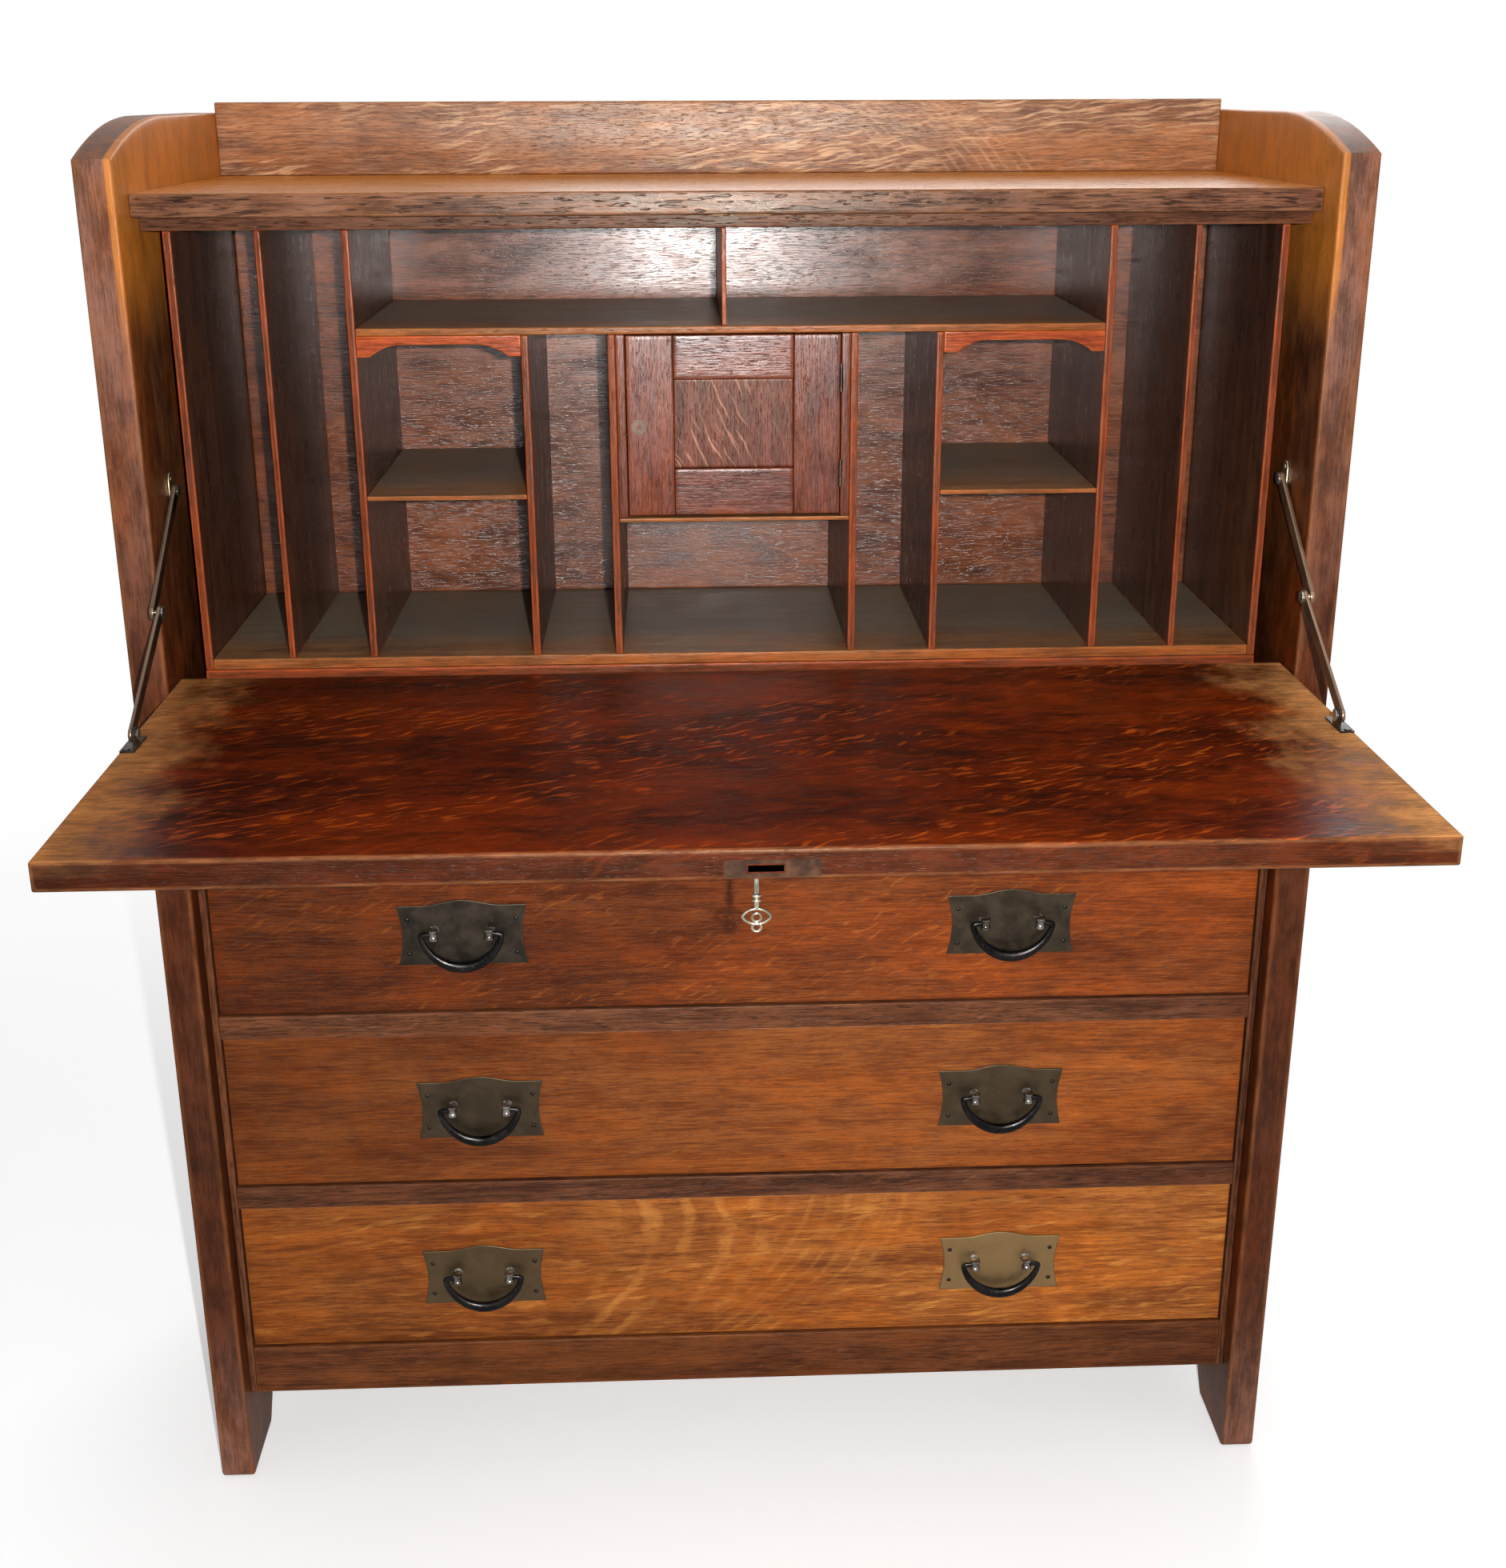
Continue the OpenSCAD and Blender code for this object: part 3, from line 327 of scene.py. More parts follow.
class Graph:
    # a short way to add nodes to a material or world and to join them
    def __init__(self, owner, output="OutputMaterial"):
        self.owner = owner
        owner.use_nodes = True
        self.tree = owner.node_tree
        self.tree.nodes.clear()
        self.output = self.add(output)

    def add(self, kind, settings=None, first=(), **inputs):
        # first: what goes into the node's first sockets, in order
        node = self.tree.nodes.new("ShaderNode" + kind)
        for key, value in (settings or {}).items():
            setattr(node, key, value)
        for socket, value in zip(node.inputs, first):
            self.feed(socket, value)
        for key, value in inputs.items():
            self.feed(node.inputs[key.replace("_", " ")], value)
        return node

    def feed(self, socket, value):
        if isinstance(value, bpy.types.NodeSocket):
            self.tree.links.new(value, socket)
        else:
            socket.default_value = value

    def attribute(self, name, output):
        return self.add("Attribute", {"attribute_name": name}).outputs[output]

    def noise(self, vector, scale, detail=3.0, rough=0.55):
        return self.add("TexNoise", Vector=vector, Scale=scale, Detail=detail, Roughness=rough).outputs[0]

    def stretch(self, vector, along, across):
        factors = (vector, (along, across, across))
        return self.add("VectorMath", {"operation": "MULTIPLY"}, factors).outputs[0]

    def streaks(self, vector, name, detail=3.0, rough=0.55, size=1.0):
        # noise drawn out along the grain, at one of the scales in grainScale
        stretched = self.stretch(vector, *np.multiply(grainScale[name], size))
        return self.noise(stretched, 1, detail, rough)

    def maths(self, operation, a, b=0.0, clamp=False):
        return self.add("Math", {"operation": operation, "use_clamp": clamp}, (a, b)).outputs[0]

    def times(self, a, b, clamp=False):
        return self.maths("MULTIPLY", a, b, clamp)

    def plus(self, a, b):
        return self.maths("ADD", a, b)

    def ramp(self, value, low, high, start=0.0, end=1.0):
        node = self.add("MapRange", {"interpolation_type": "SMOOTHSTEP"}, Value=value, From_Min=low,
                        From_Max=high, To_Min=start, To_Max=end)
        return node.outputs["Result"]

    def mix(self, factor, a, b, blend="MIX"):
        node = self.add("Mix", {"data_type": "RGBA", "blend_type": blend})
        self.feed(node.inputs["Factor"], factor)
        self.feed(node.inputs[6], a)
        self.feed(node.inputs[7], b)
        return node.outputs[2]

    def finish(self, **inputs):
        shader = self.add("BsdfPrincipled", **inputs)
        self.feed(self.output.inputs[0], shader.outputs[0])
        return self.owner


# Stains of the oak. body: shares of broad streaks, fine grain and mottling in the pattern; patch: scale of
# the stain's patches; fleck: the flecks' length and width scales, tilt from the grain and how few they are;
# pore: the pores' length and width scales and strength; figures: broad rays across the grain, each with its
# middle, reach, period, curve, slant and strength
plainOak = dict(body=(0.3, 0.45, 0.25), patch=1.0, warmAmount=0.6, shade=(0.5, 0.4, 0.42), shadeAmount=0.6,
                fleckAmount=0.2, fleck=(40, 260, 0.25, 0.6), pore=(110, 1500, 0.45), wornAmount=0.3,
                rough=0.38, spec=0.1, rubbed=0.35, tint=(1.0, 0.88, 0.76), bump=0.4)


def stain(dark, light, warm, pale, worn, **rest):
    # a look with its screen colours: dark and light grain, warm patches, pale flecks and worn arrises
    return {**plainOak, "dark": dark, "light": light, "warm": warm, "pale": pale, "worn": worn, **rest}


oakLooks = dict(
    sideOak=stain(
        (76, 44, 28), (122, 74, 42), (150, 76, 24), (150, 100, 62), (168, 104, 60),
        shade=(0.42, 0.38, 0.46), shadeAmount=0.8, patch=0.8, front=(142, 100, 86), frontAmount=0.75,
        # next: the tint for low down, partly stain and partly painted shade, then the colour of painted
        # light on the inner faces above the shelf
        sink=(0.4, 0.25, 0.14), inner=(206, 124, 44), body=(0.1, 0.35, 0.55)),
    galleryOak=stain(
        (98, 60, 42), (156, 106, 74), (172, 106, 58), (222, 176, 132), (150, 104, 68), fleckAmount=0.65,
        fleck=(26, 330, 0.12, 0.5), shadeAmount=0.4, spec=0.22, rough=0.36, bump=0.3,
        shade=(0.46, 0.4, 0.46), figures=[(0.16, 1.2, 0.1, 0.011, 9.0, 1.6, 0.3)]),
    shelfOak=stain(
        (62, 36, 26), (132, 88, 64), (126, 76, 44), (150, 112, 84), (150, 104, 70), top=(204, 122, 34),
        topAmount=0.9, rough=0.29, spec=0.12, bump=0.5, pore=(50, 420, 0.8)),
    frameOak=stain(
        (66, 36, 22), (112, 68, 44), (116, 64, 34), (140, 92, 64), (130, 84, 58), bump=0.6,
        pore=(70, 700, 0.6), fleckAmount=0.4),
    bottomOak=stain(
        (72, 36, 18), (118, 66, 34), (130, 70, 28), (150, 96, 56), (150, 96, 58), fleckAmount=0.4),
    # the drawers' colours grow lighter from the top drawer down, partly stain and partly painted shade from
    # the fall above; each drawer also carries a painted shade towards its left end
    drawerOak1=stain(
        (96, 42, 17), (144, 74, 30), (172, 78, 22), (206, 116, 46), (116, 60, 32),
        fleck=(45, 260, 0.45, 0.58), fleckAmount=0.45, fade=0.45),
    drawerOak2=stain(
        (116, 58, 25), (160, 91, 40), (180, 91, 28), (198, 124, 56), (124, 68, 36),
        fleck=(60, 420, 0.1, 0.58), fleckAmount=0.3, fade=0.55),
    drawerOak3=stain(
        (122, 64, 27), (178, 107, 46), (200, 107, 33), (232, 154, 72), (140, 82, 42),
        fleck=(22, 150, 0.12, 0.56), fleckAmount=0.5, fade=0.6,
        figures=[(-0.045, 0.21, 0.1, 0.033, 6.0, -0.36, 0.52), (0.03, 0.16, 0.09, 0.017, 4.0, -1.1, 0.28)]),
    # the fall: a painted shade towards its left end
    fallOak=stain(
        (44, 10, 1), (96, 28, 2), (132, 44, 2), (190, 84, 18), (160, 104, 62), shade=(0.4, 0.32, 0.36),
        shadeAmount=0.7, fleckAmount=0.75, fleck=(42, 230, 0.5, 0.55), wornAmount=0.4, body=(0.1, 0.4, 0.5),
        patch=0.6, rough=0.36, spec=0.08, fade=0.6, ends=(236, 164, 96), rubbed=0.75, front=(84, 39, 19),
        frontAmount=0.95),
    insideOak=stain(
        (56, 34, 24), (98, 64, 48), (106, 62, 38), (126, 86, 64), (196, 84, 30), front=(140, 58, 23),
        frontAmount=0.7, fleckAmount=0.15, wornAmount=0.5, rough=0.3),
    dustyOak=stain(
        (84, 54, 34), (136, 92, 56), (152, 92, 40), (126, 100, 82), (180, 110, 50), front=(164, 84, 34),
        frontAmount=0.85, dust=(102, 97, 84), dustAmount=0.85, fleckAmount=0.1, rough=0.33),
    backOak=stain(
        (72, 38, 23), (121, 68, 41), (138, 70, 25), (144, 88, 56), (110, 70, 46),
        fleck=(50, 400, 0.1, 0.54), body=(0.1, 0.45, 0.45), warmAmount=0.5, rough=0.24,
        spec=0.22, bump=0.2, tint=(1.0, 0.96, 0.94)),
    valanceOak=stain(
        (112, 42, 16), (176, 76, 32), (190, 84, 30), (190, 104, 54), (206, 110, 54), rough=0.3),
    doorOak=stain(
        (70, 31, 20), (114, 57, 40), (132, 60, 23), (150, 92, 72), (120, 66, 40),
        rough=0.27, spec=0.14, bump=0.3, tint=(1.0, 0.96, 0.94)),
    panelOak=stain(
        (68, 31, 22), (110, 57, 44), (118, 54, 32), (184, 128, 104), (120, 66, 40), fleckAmount=0.7,
        fleck=(24, 340, -0.42, 0.58), rough=0.36, spec=0.12),
    boxOak=stain(
        (132, 96, 60), (172, 134, 90), (176, 132, 80), (184, 150, 106), (140, 106, 70), fleckAmount=0.1,
        rough=0.6))
oakLooks["paleDustOak"] = {**oakLooks["dustyOak"], "dust": (142, 132, 118)}


# Scales of the pattern along and across the grain, places in metres between which the stain and the painted
# light and shade change, and how squarely a face has to look up or forward
grainScale = dict(bend=(2.2, 8), streak=(4, 90), fine=(36, 760), mottle=(26, 60), warm=(7, 18),
                  shaded=(5, 14), fleckWave=(14, 30), fleckPatch=(6, 14), ragged=(20, 14), rubbed=(12, 40),
                  chipped=(30, 200))
stainPlace = dict(ends=(0.45, 0.56), writingSide=(0.755, 0.758), left=(-0.5, 0.35), aboveShelf=(1.02, 1.1),
                  innerFace=(0.458, 0.46), sunk=(0.68, 1.12), foot=(0.02, 0.2), swept=(0.1, 0.17))
facingUp = (0.7, 0.95)
facingFront = (0.6, 0.9)


def tintOf(look, name, share=1.0):
    # one of a look's screen colours, scaled and turned to linear light
    return linear(np.array(look[name]) * share)


def coat(g, colour, ground, look, name, share, amount):
    # a look's colour over another one, at the given share of its strength in the dark grain
    return g.mix(amount, colour, g.mix(ground, tintOf(look, name, share), tintOf(look, name)))


def figureBands(g, place, figure):
    # bands across the grain, bent to x + curve z^2 + slant z, that fade out to both sides and break up
    cx, cz, reach, period, curve, slant, amount = figure
    at = g.add("SeparateXYZ", Vector=place).outputs
    dx = g.maths("SUBTRACT", at["X"], cx)
    dz = g.maths("SUBTRACT", at["Z"], cz)
    bent = g.plus(dx, g.times(g.plus(g.times(dz, curve), slant), dz))
    wander = g.times(g.noise(place, 30, 3), period * 0.9)
    phase = g.times(g.plus(bent, wander), tau / period)
    band = g.ramp(g.maths("SINE", phase), 0, 1)
    where = g.ramp(g.maths("ABSOLUTE", bent), reach * 0.4, reach, 1, 0)
    broken = g.ramp(g.noise(place, 26, 3, 0.6), 0.36, 0.6, 0.15, 1)
    return g.times(g.times(band, where), g.times(broken, amount))


def fleckIslands(g, place, flow, look):
    # small leaning islands: noise stretched along a direction tilted from the grain, kept in patches
    length, width, tilt, few = look["fleck"]
    at = g.add("SeparateXYZ", Vector=flow).outputs
    along = at["X"]
    across = g.plus(at["Y"], at["Z"])
    u = g.plus(g.times(along, math.cos(tilt)), g.times(across, math.sin(tilt)))
    v = g.maths("SUBTRACT", g.times(across, math.cos(tilt)), g.times(along, math.sin(tilt)))
    v = g.plus(v, g.times(g.streaks(place, "fleckWave", 2), 0.02))
    leaning = g.add("CombineXYZ", X=g.times(u, float(length)), Y=g.times(v, float(width))).outputs[0]
    island = g.ramp(g.noise(leaning, 1, 2, 0.5), few, few + 0.1)
    patch = g.ramp(g.streaks(place, "fleckPatch"), 0.42, 0.58, 0.2, 1)
    return g.times(g.times(island, patch), look["fleckAmount"])


def stainChanges(g, look, colour, ground, place, spot, facing):
    # what age did to each part of the desk, with some painted light and shade; gives the colour and how bare
    # the worn ends are
    bareEnds = 0.0
    if "ends" in look:
        # matt ends, ragged on their inner side, on the writing side only
        ragged = g.times(g.streaks(place, "ragged", 5, 0.7), 0.16)
        reach = g.ramp(g.plus(g.maths("ABSOLUTE", spot["X"]), ragged), *stainPlace["ends"])
        bareEnds = g.times(reach, g.ramp(spot["Z"], *stainPlace["writingSide"], 0, 0.9))
        colour = coat(g, colour, ground, look, "ends", 0.7, bareEnds)
    if "front" in look:
        # front edges rubbed by hands
        front = g.ramp(g.times(facing["Y"], -1), *facingFront)
        rubbed = g.ramp(g.streaks(place, "rubbed", 4, 0.7), 0.35, 0.6, look["rubbed"], 1)
        share = g.times(g.times(front, rubbed), look["frontAmount"])
        colour = coat(g, colour, ground, look, "front", 0.7, share)
    if "fade" in look:
        # painted shade: darker towards the left end, as if the light came from the right
        low = look["fade"]
        left = g.ramp(spot["X"], *stainPlace["left"], 1, 0)
        colour = g.mix(left, colour, g.mix(1, colour, (low, low * 0.92, low * 0.86, 1), "MULTIPLY"))
    if "inner" in look:
        # painted light: inner faces brighter above the shelf, where the light falls on them
        upper = g.ramp(spot["Z"], *stainPlace["aboveShelf"])
        within = g.ramp(g.maths("ABSOLUTE", spot["X"]), *stainPlace["innerFace"], 1, 0)
        share = g.times(g.times(upper, within), 0.8)
        colour = coat(g, colour, ground, look, "inner", 0.85, share)
    if "sink" in look:
        # darker low down, but not at the feet: partly a darker stain, partly painted shade where less light
        # reaches, the feet kept lighter as painted light from the floor
        down = g.ramp(spot["Z"], *stainPlace["sunk"], 1, 0)
        down = g.times(down, g.ramp(spot["Z"], *stainPlace["foot"]))
        colour = g.mix(down, colour, g.mix(1, colour, (*look["sink"], 1), "MULTIPLY"))
    if "top" in look:
        # upper faces lighter
        up = g.ramp(facing["Z"], *facingUp)
        colour = coat(g, colour, ground, look, "top", 0.82, g.times(up, look["topAmount"]))
    return colour, bareEnds


def makeOak(name, look, carried=False):
    # a stained and worn oak, with some light and shade painted in; carried is for solids shown as they are,
    # whose grain runs along Y
    g = Graph(bpy.data.materials.new(name))
    coords = g.add("TexCoord")
    if carried:
        place = g.add("Mapping", Vector=coords.outputs["Object"], Rotation=(0, 0, math.pi / 2)).outputs[0]
        wear, tone = 0.0, 0.0
    else:
        place = g.attribute("grain", "Vector")
        wear = g.attribute("wear", "Fac")
        tone = g.attribute("tone", "Fac")
    bend = g.add("TexNoise", Vector=g.stretch(place, *grainScale["bend"]), Scale=1.0, Detail=2.0)
    shift = (bend.outputs["Color"], (0.02, 0.02, 0.02), place)
    flow = g.add("VectorMath", {"operation": "MULTIPLY_ADD"}, shift).outputs[0]
    # body of the pattern: broad streaks, fine grain and mottling
    streak = g.streaks(flow, "streak", 4, 0.6)
    fine = g.streaks(flow, "fine", 3, 0.6)
    mottle = g.streaks(flow, "mottle", 5, 0.7)
    parts = [g.times(part, share) for part, share in zip((streak, fine, mottle), look["body"])]
    ground = g.ramp(g.plus(g.plus(parts[0], parts[1]), parts[2]), 0.4, 0.6)
    colour = g.mix(ground, tintOf(look, "dark"), tintOf(look, "light"))
    # stain that took unevenly: warm patches, and shaded ones
    warm = g.ramp(g.streaks(flow, "warm", 5, 0.65, look["patch"]), 0.45, 0.6)
    colour = coat(g, colour, ground, look, "warm", 0.75, g.times(warm, look["warmAmount"]))
    fleck = fleckIslands(g, place, flow, look)
    for figure in look.get("figures", ()):
        fleck = g.maths("MAXIMUM", fleck, figureBands(g, coords.outputs["Object"], figure))
    colour = coat(g, colour, ground, look, "pale", 0.84, fleck)
    # pores: short dark dashes along the grain
    long, thin, deep = look["pore"]
    pore = g.ramp(g.noise(g.stretch(flow, long, thin), 1, 1), 0.58, 0.68)
    colour = g.mix(g.times(pore, deep), colour, tintOf(look, "dark", 0.6))
    shaded = g.ramp(g.streaks(flow, "shaded", 6, 0.65, look["patch"]), 0.44, 0.68)
    dim = g.mix(1, colour, (*look["shade"], 1), "MULTIPLY")
    colour = g.mix(g.times(shaded, look["shadeAmount"]), colour, dim)
    # each board a little lighter or darker than the next
    colour = g.add("HueSaturation", Color=colour, Value=g.plus(g.times(tone, 0.08), 1.0)).outputs[0]
    spot = g.add("SeparateXYZ", Vector=coords.outputs["Object"]).outputs
    facing = g.add("SeparateXYZ", Vector=coords.outputs["Normal"]).outputs
    colour, bareEnds = stainChanges(g, look, colour, ground, place, spot, facing)
    rough = g.plus(look["rough"], g.times(g.maths("SUBTRACT", mottle, 0.5), 0.3))
    if "ends" in look:
        rough = g.plus(rough, g.times(bareEnds, 0.6))
    if "dust" in look:
        # dust lies on upper faces, swept clean towards the front
        up = g.ramp(facing["Z"], *facingUp)
        cloud = g.ramp(g.noise(place, 14, 5, 0.7), 0.2, 0.7, 0.5, 1)
        swept = g.plus(spot["Y"], g.times(g.noise(place, 30, 4, 0.6), 0.05))
        cloud = g.times(cloud, g.ramp(swept, *stainPlace["swept"], 0.15, 1))
        dust = g.times(g.times(up, cloud), look["dustAmount"])
        colour = g.mix(dust, colour, tintOf(look, "dust"))
        rough = g.plus(rough, g.times(dust, 0.1))
    chipped = g.ramp(g.streaks(place, "chipped", 4, 0.7), 0.35, 0.65, 0.25, 1)
    edge = g.times(g.times(g.ramp(wear, 0.25, 1), chipped), look["wornAmount"])
    colour = g.mix(edge, colour, tintOf(look, "worn"))
    height = g.maths("SUBTRACT", g.plus(g.times(fine, 0.7), mottle), pore)
    bump = g.add("Bump", Height=height, Strength=look["bump"], Distance=0.0006).outputs[0]
    return g.finish(Base_Color=colour, Roughness=rough, Normal=bump, Specular_IOR_Level=look["spec"],
                    Specular_Tint=(*look["tint"], 1))


# Metals, as screen colours: dark and light clouds, bright where rubbed and, partly as a painted highlight,
# on rounded edges, and pale for the tone of a piece, which is partly painted light
plainMetal = dict(metallic=0.85, bumps=200, depth=0.0001)
metalLooks = dict(
    plateMetal=dict(
        dark=(32, 26, 19), light=(48, 40, 30), bright=(76, 63, 46), pale=(138, 110, 72), rough=0.46,
        metallic=0.8, bumps=90, depth=0.0002),
    postMetal=dict(
        dark=(84, 78, 72), light=(140, 134, 128), bright=(206, 200, 192), rough=0.26, metallic=0.9,
        bumps=160),
    bailMetal=dict(
        dark=(14, 13, 13), light=(32, 29, 28), bright=(96, 90, 86), rough=0.3, bumps=120,
        depth=0.0002),
    stayMetal=dict(
        dark=(26, 22, 19), light=(50, 42, 36), bright=(150, 124, 100), pale=(176, 142, 112), rough=0.38,
        metallic=0.8, bumps=160),
    rivetMetal=dict(
        dark=(140, 132, 120), light=(196, 188, 174), bright=(226, 220, 208), pale=(226, 220, 208),
        rough=0.25, metallic=0.9),
    bracketMetal=dict(
        dark=(96, 78, 54), light=(150, 126, 90), bright=(196, 172, 130), pale=(190, 182, 168), rough=0.32),
    brassMetal=dict(
        dark=(96, 70, 34), light=(150, 116, 62), bright=(190, 156, 96), rough=0.35, metallic=0.9),
    hingeMetal=dict(
        dark=(30, 22, 18), light=(62, 48, 38), bright=(120, 98, 76), rough=0.45, metallic=0.8, bumps=160),
    lockMetal=dict(
        dark=(44, 26, 15), light=(74, 46, 27), bright=(74, 52, 34), rough=0.5, metallic=0.8),
    keyMetal=dict(
        dark=(156, 146, 124), light=(214, 206, 186), bright=(240, 234, 220), rough=0.22, metallic=0.9,
        bumps=240),
    # the bolt's bright colour is a painted highlight along its rounded edges
    boltMetal=dict(
        dark=(46, 34, 23), light=(84, 64, 43), bright=(236, 214, 170), rough=0.3))


def makeMetal(name, look):
    # a clouded metal, rubbed bright in spots, and bright on its rounded edges partly from wear and partly as
    # a painted highlight
    look = {**plainMetal, **look}
    g = Graph(bpy.data.materials.new(name))
    place = g.add("TexCoord").outputs["Object"]
    cloud = g.ramp(g.noise(place, 60, 5, 0.65), 0.35, 0.68)
    colour = g.mix(cloud, tintOf(look, "dark"), tintOf(look, "light"))
    if "pale" in look:
        # tone runs from -1, the dark nail heads, to 1, the palest plate, pale partly from metal rubbed bare
        # and partly as painted light
        tone = g.attribute("tone", "Fac")
        colour = g.mix(g.times(tone, 0.85, clamp=True), colour, tintOf(look, "pale"))
        colour = g.mix(g.times(tone, -0.6, clamp=True), colour, tintOf(look, "dark", 0.6))
    rub = g.times(g.ramp(g.noise(place, 300, 4, 0.7), 0.55, 0.75), 0.3)
    colour = g.mix(rub, colour, tintOf(look, "bright"))
    # rounded edges painted bright, partly as worn metal and partly as a painted highlight
    wear = g.times(g.ramp(g.attribute("wear", "Fac"), 0.3, 1), 0.4)
    colour = g.mix(wear, colour, tintOf(look, "bright"))
    rough = g.plus(look["rough"] - 0.06, g.times(cloud, 0.12))
    bumps = g.noise(place, look["bumps"], 3, 0.5)
    bump = g.add("Bump", Height=bumps, Strength=0.5, Distance=look["depth"]).outputs[0]
    return g.finish(Base_Color=colour, Metallic=look["metallic"], Roughness=rough, Normal=bump)


finishes = {name: makeOak(name, look) for name, look in oakLooks.items()}
finishes.update((name, makeMetal(name, look)) for name, look in metalLooks.items())
finishes["carriedOak"] = makeOak("carriedOak", oakLooks["frameOak"], carried=True)
print("materials ready:", len(finishes))


# Boards: each node's finish and the axis its grain runs along

x, y, z = 0, 1, 2
boards = dict(
    top_shelf=("shelfOak", x), gallery_board=("galleryOak", x), stop_rail=("frameOak", x),
    bed_board=("frameOak", x), case_back=("frameOak", x), drawer_rails=("frameOak", x),
    bottom_rail=("bottomOak", x), frame_stiles=("frameOak", z), frieze_board=("drawerOak1", x),
    unit_base=("insideOak", x), unit_floor=("dustyOak", x), unit_walls=("insideOak", z),
    unit_top=("insideOak", x), unit_back=("backOak", x), outer_dividers=("insideOak", z),
    main_partitions=("insideOak", z), inner_partitions=("insideOak", z), centre_divider=("insideOak", z),
    wide_shelf=("paleDustOak", x), cubby_shelves=("dustyOak", x), door_shelf=("dustyOak", x),
    door_jambs=("doorOak", z), fall_board=("fallOak", x), door_frame=("doorOak", z),
    door_panel=("panelOak", z),
    **{f"drawer_{n}_front": (f"drawerOak{n}", x) for n in (1, 2, 3)},
    **{f"drawer_{n}_box": ("boxOak", y) for n in (1, 2, 3)})
arrisOf = sized(fall_board=1.6, top_shelf=1.4, gallery_board=1.4)


def makeBoards():
    # every box in a node becomes a rounded board; door rails and drawer backs have their grain across
    for node, (finish, along) in boards.items():
        surfaces = []
        for low, high in partBoxes(node):
            wide, deep, tall = high - low
            rail = node == "door_frame" and wide > 2 * deep and wide > tall
            back = node.endswith("_box") and wide > 4 * deep
            surfaces.append(roundedBoard(low, high, x if rail or back else along, arrisOf.get(node)))
        body = frame["nodes"][node]["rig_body"]
        makePiece(node + "_wood", surfaces, finish, body, [node])


makeBoards()
print("boards ready:", len(boards))


# Side panels: a curved top and arched feet

sideShape = sized(drop=28, run=160, foot=80, flare=15, flareHeight=21, archHeight=85, archRadius=40, toe=9,
                  arris=1.8, wearBand=4, backCorner=6.5)


def sideOutline(low, high):
    # the side panel's outline in Y and Z, counter-clockwise from the front toe
    s = sideShape
    y0, y1, top = low[1], high[1], high[2]
    toe, corner = s["toe"], s["backCorner"]
    big = (s["run"] ** 2 + s["drop"] ** 2) / (2 * s["drop"])
    sweep = math.degrees(math.asin(s["run"] / big))
    a0, a1 = y0 + s["foot"] + s["flare"], y1 - s["foot"] - s["flare"]
    r, h = s["archRadius"], s["archHeight"]
    return np.vstack([
        arc(y0 + toe, toe, toe, 180, 270, 8),
        [[y0 + s["foot"], 0]],
        [[a0, s["flareHeight"]]],
        arc(a0 + r, h - r, r, 180, 90, 12),
        arc(a1 - r, h - r, r, 90, 0, 12),
        [[a1, s["flareHeight"]]],
        [[y1 - s["foot"], 0]],
        arc(y1 - toe, toe, toe, 270, 360, 8),
        arc(y1 - corner, top - corner, corner, 0, 90, 4),
        arc(y0 + s["run"], top - big, big, 90, 90 + sweep, 24)])


def makeSides():
    # the outline carried through the panel's thickness
    for side in ("left", "right"):
        node = "side_" + side
        low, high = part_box(node)
        outline = sideOutline(low, high)
        slab = roundedSlab(outline, low.x, high.x, x, z, sideShape["arris"], sideShape["wearBand"])
        makePiece(node + "_wood", [slab], "sideOak", "case", [node])


makeSides()


# Valances over the cubbies

valanceShape = sized(foot=10, curve=26, middle=7, arris=0.7, wearBand=1)


def valanceOutline(low, high):
    # straight feet at the ends and a long curve up to the middle, in X and Z
    s = valanceShape
    x0, x1, z0, z1 = low[0], high[0], low[2], high[2]
    lift = (z1 - z0) - s["middle"]
    r = (s["curve"] ** 2 + lift ** 2) / (2 * lift)
    sweep = math.degrees(math.asin(s["curve"] / r))
    mid = z1 - s["middle"]
    left = x0 + s["foot"] + s["curve"]
    right = x1 - s["foot"] - s["curve"]
    return np.vstack([
        [[x0, z0]],
        arc(left, mid - r, r, 90 + sweep, 90, 10),
        arc(right, mid - r, r, 90, 90 - sweep, 10),
        [[x1, z0], [x1, z1], [x0, z1]]])


def makeValances():
    # the outline carried from the front to the back of each valance
    s = valanceShape
    slabs = []
    for low, high in partBoxes("valances"):
        outline = valanceOutline(low, high)
        slabs.append(roundedSlab(outline, low[1], high[1], y, x, s["arris"], s["wearBand"]))
    makePiece("valances_wood", slabs, "valanceOak", "case", ["valances"])


makeValances()
print("sides and valances ready")


# Drawer pulls: plate, posts, nails and bail

pullShape = {**sized(smallest=80, posts=47, rise=5, reach=9, peak=5, hollow=4, arris=0.5, wearBand=0.8,
                     nail=2, nailRise=0.9, nailIn=9, nailUp=15, nailDown=17, neck=3, flare=1.2, head=4.2,
                     headHalf=5.4, bailWide=34.3, bailDeep=31, rodEnd=2.3, rodMiddle=4.9),
             "bailBend": 1.2, "rodSquash": 0.78}
# how pale each plate is, by side, from the top drawer down: partly metal rubbed bare, partly painted light
# that grows towards the lower right
plateTones = {"left": (0.0, 0.1, 0.3), "right": (0.05, 0.15, 1.0)}


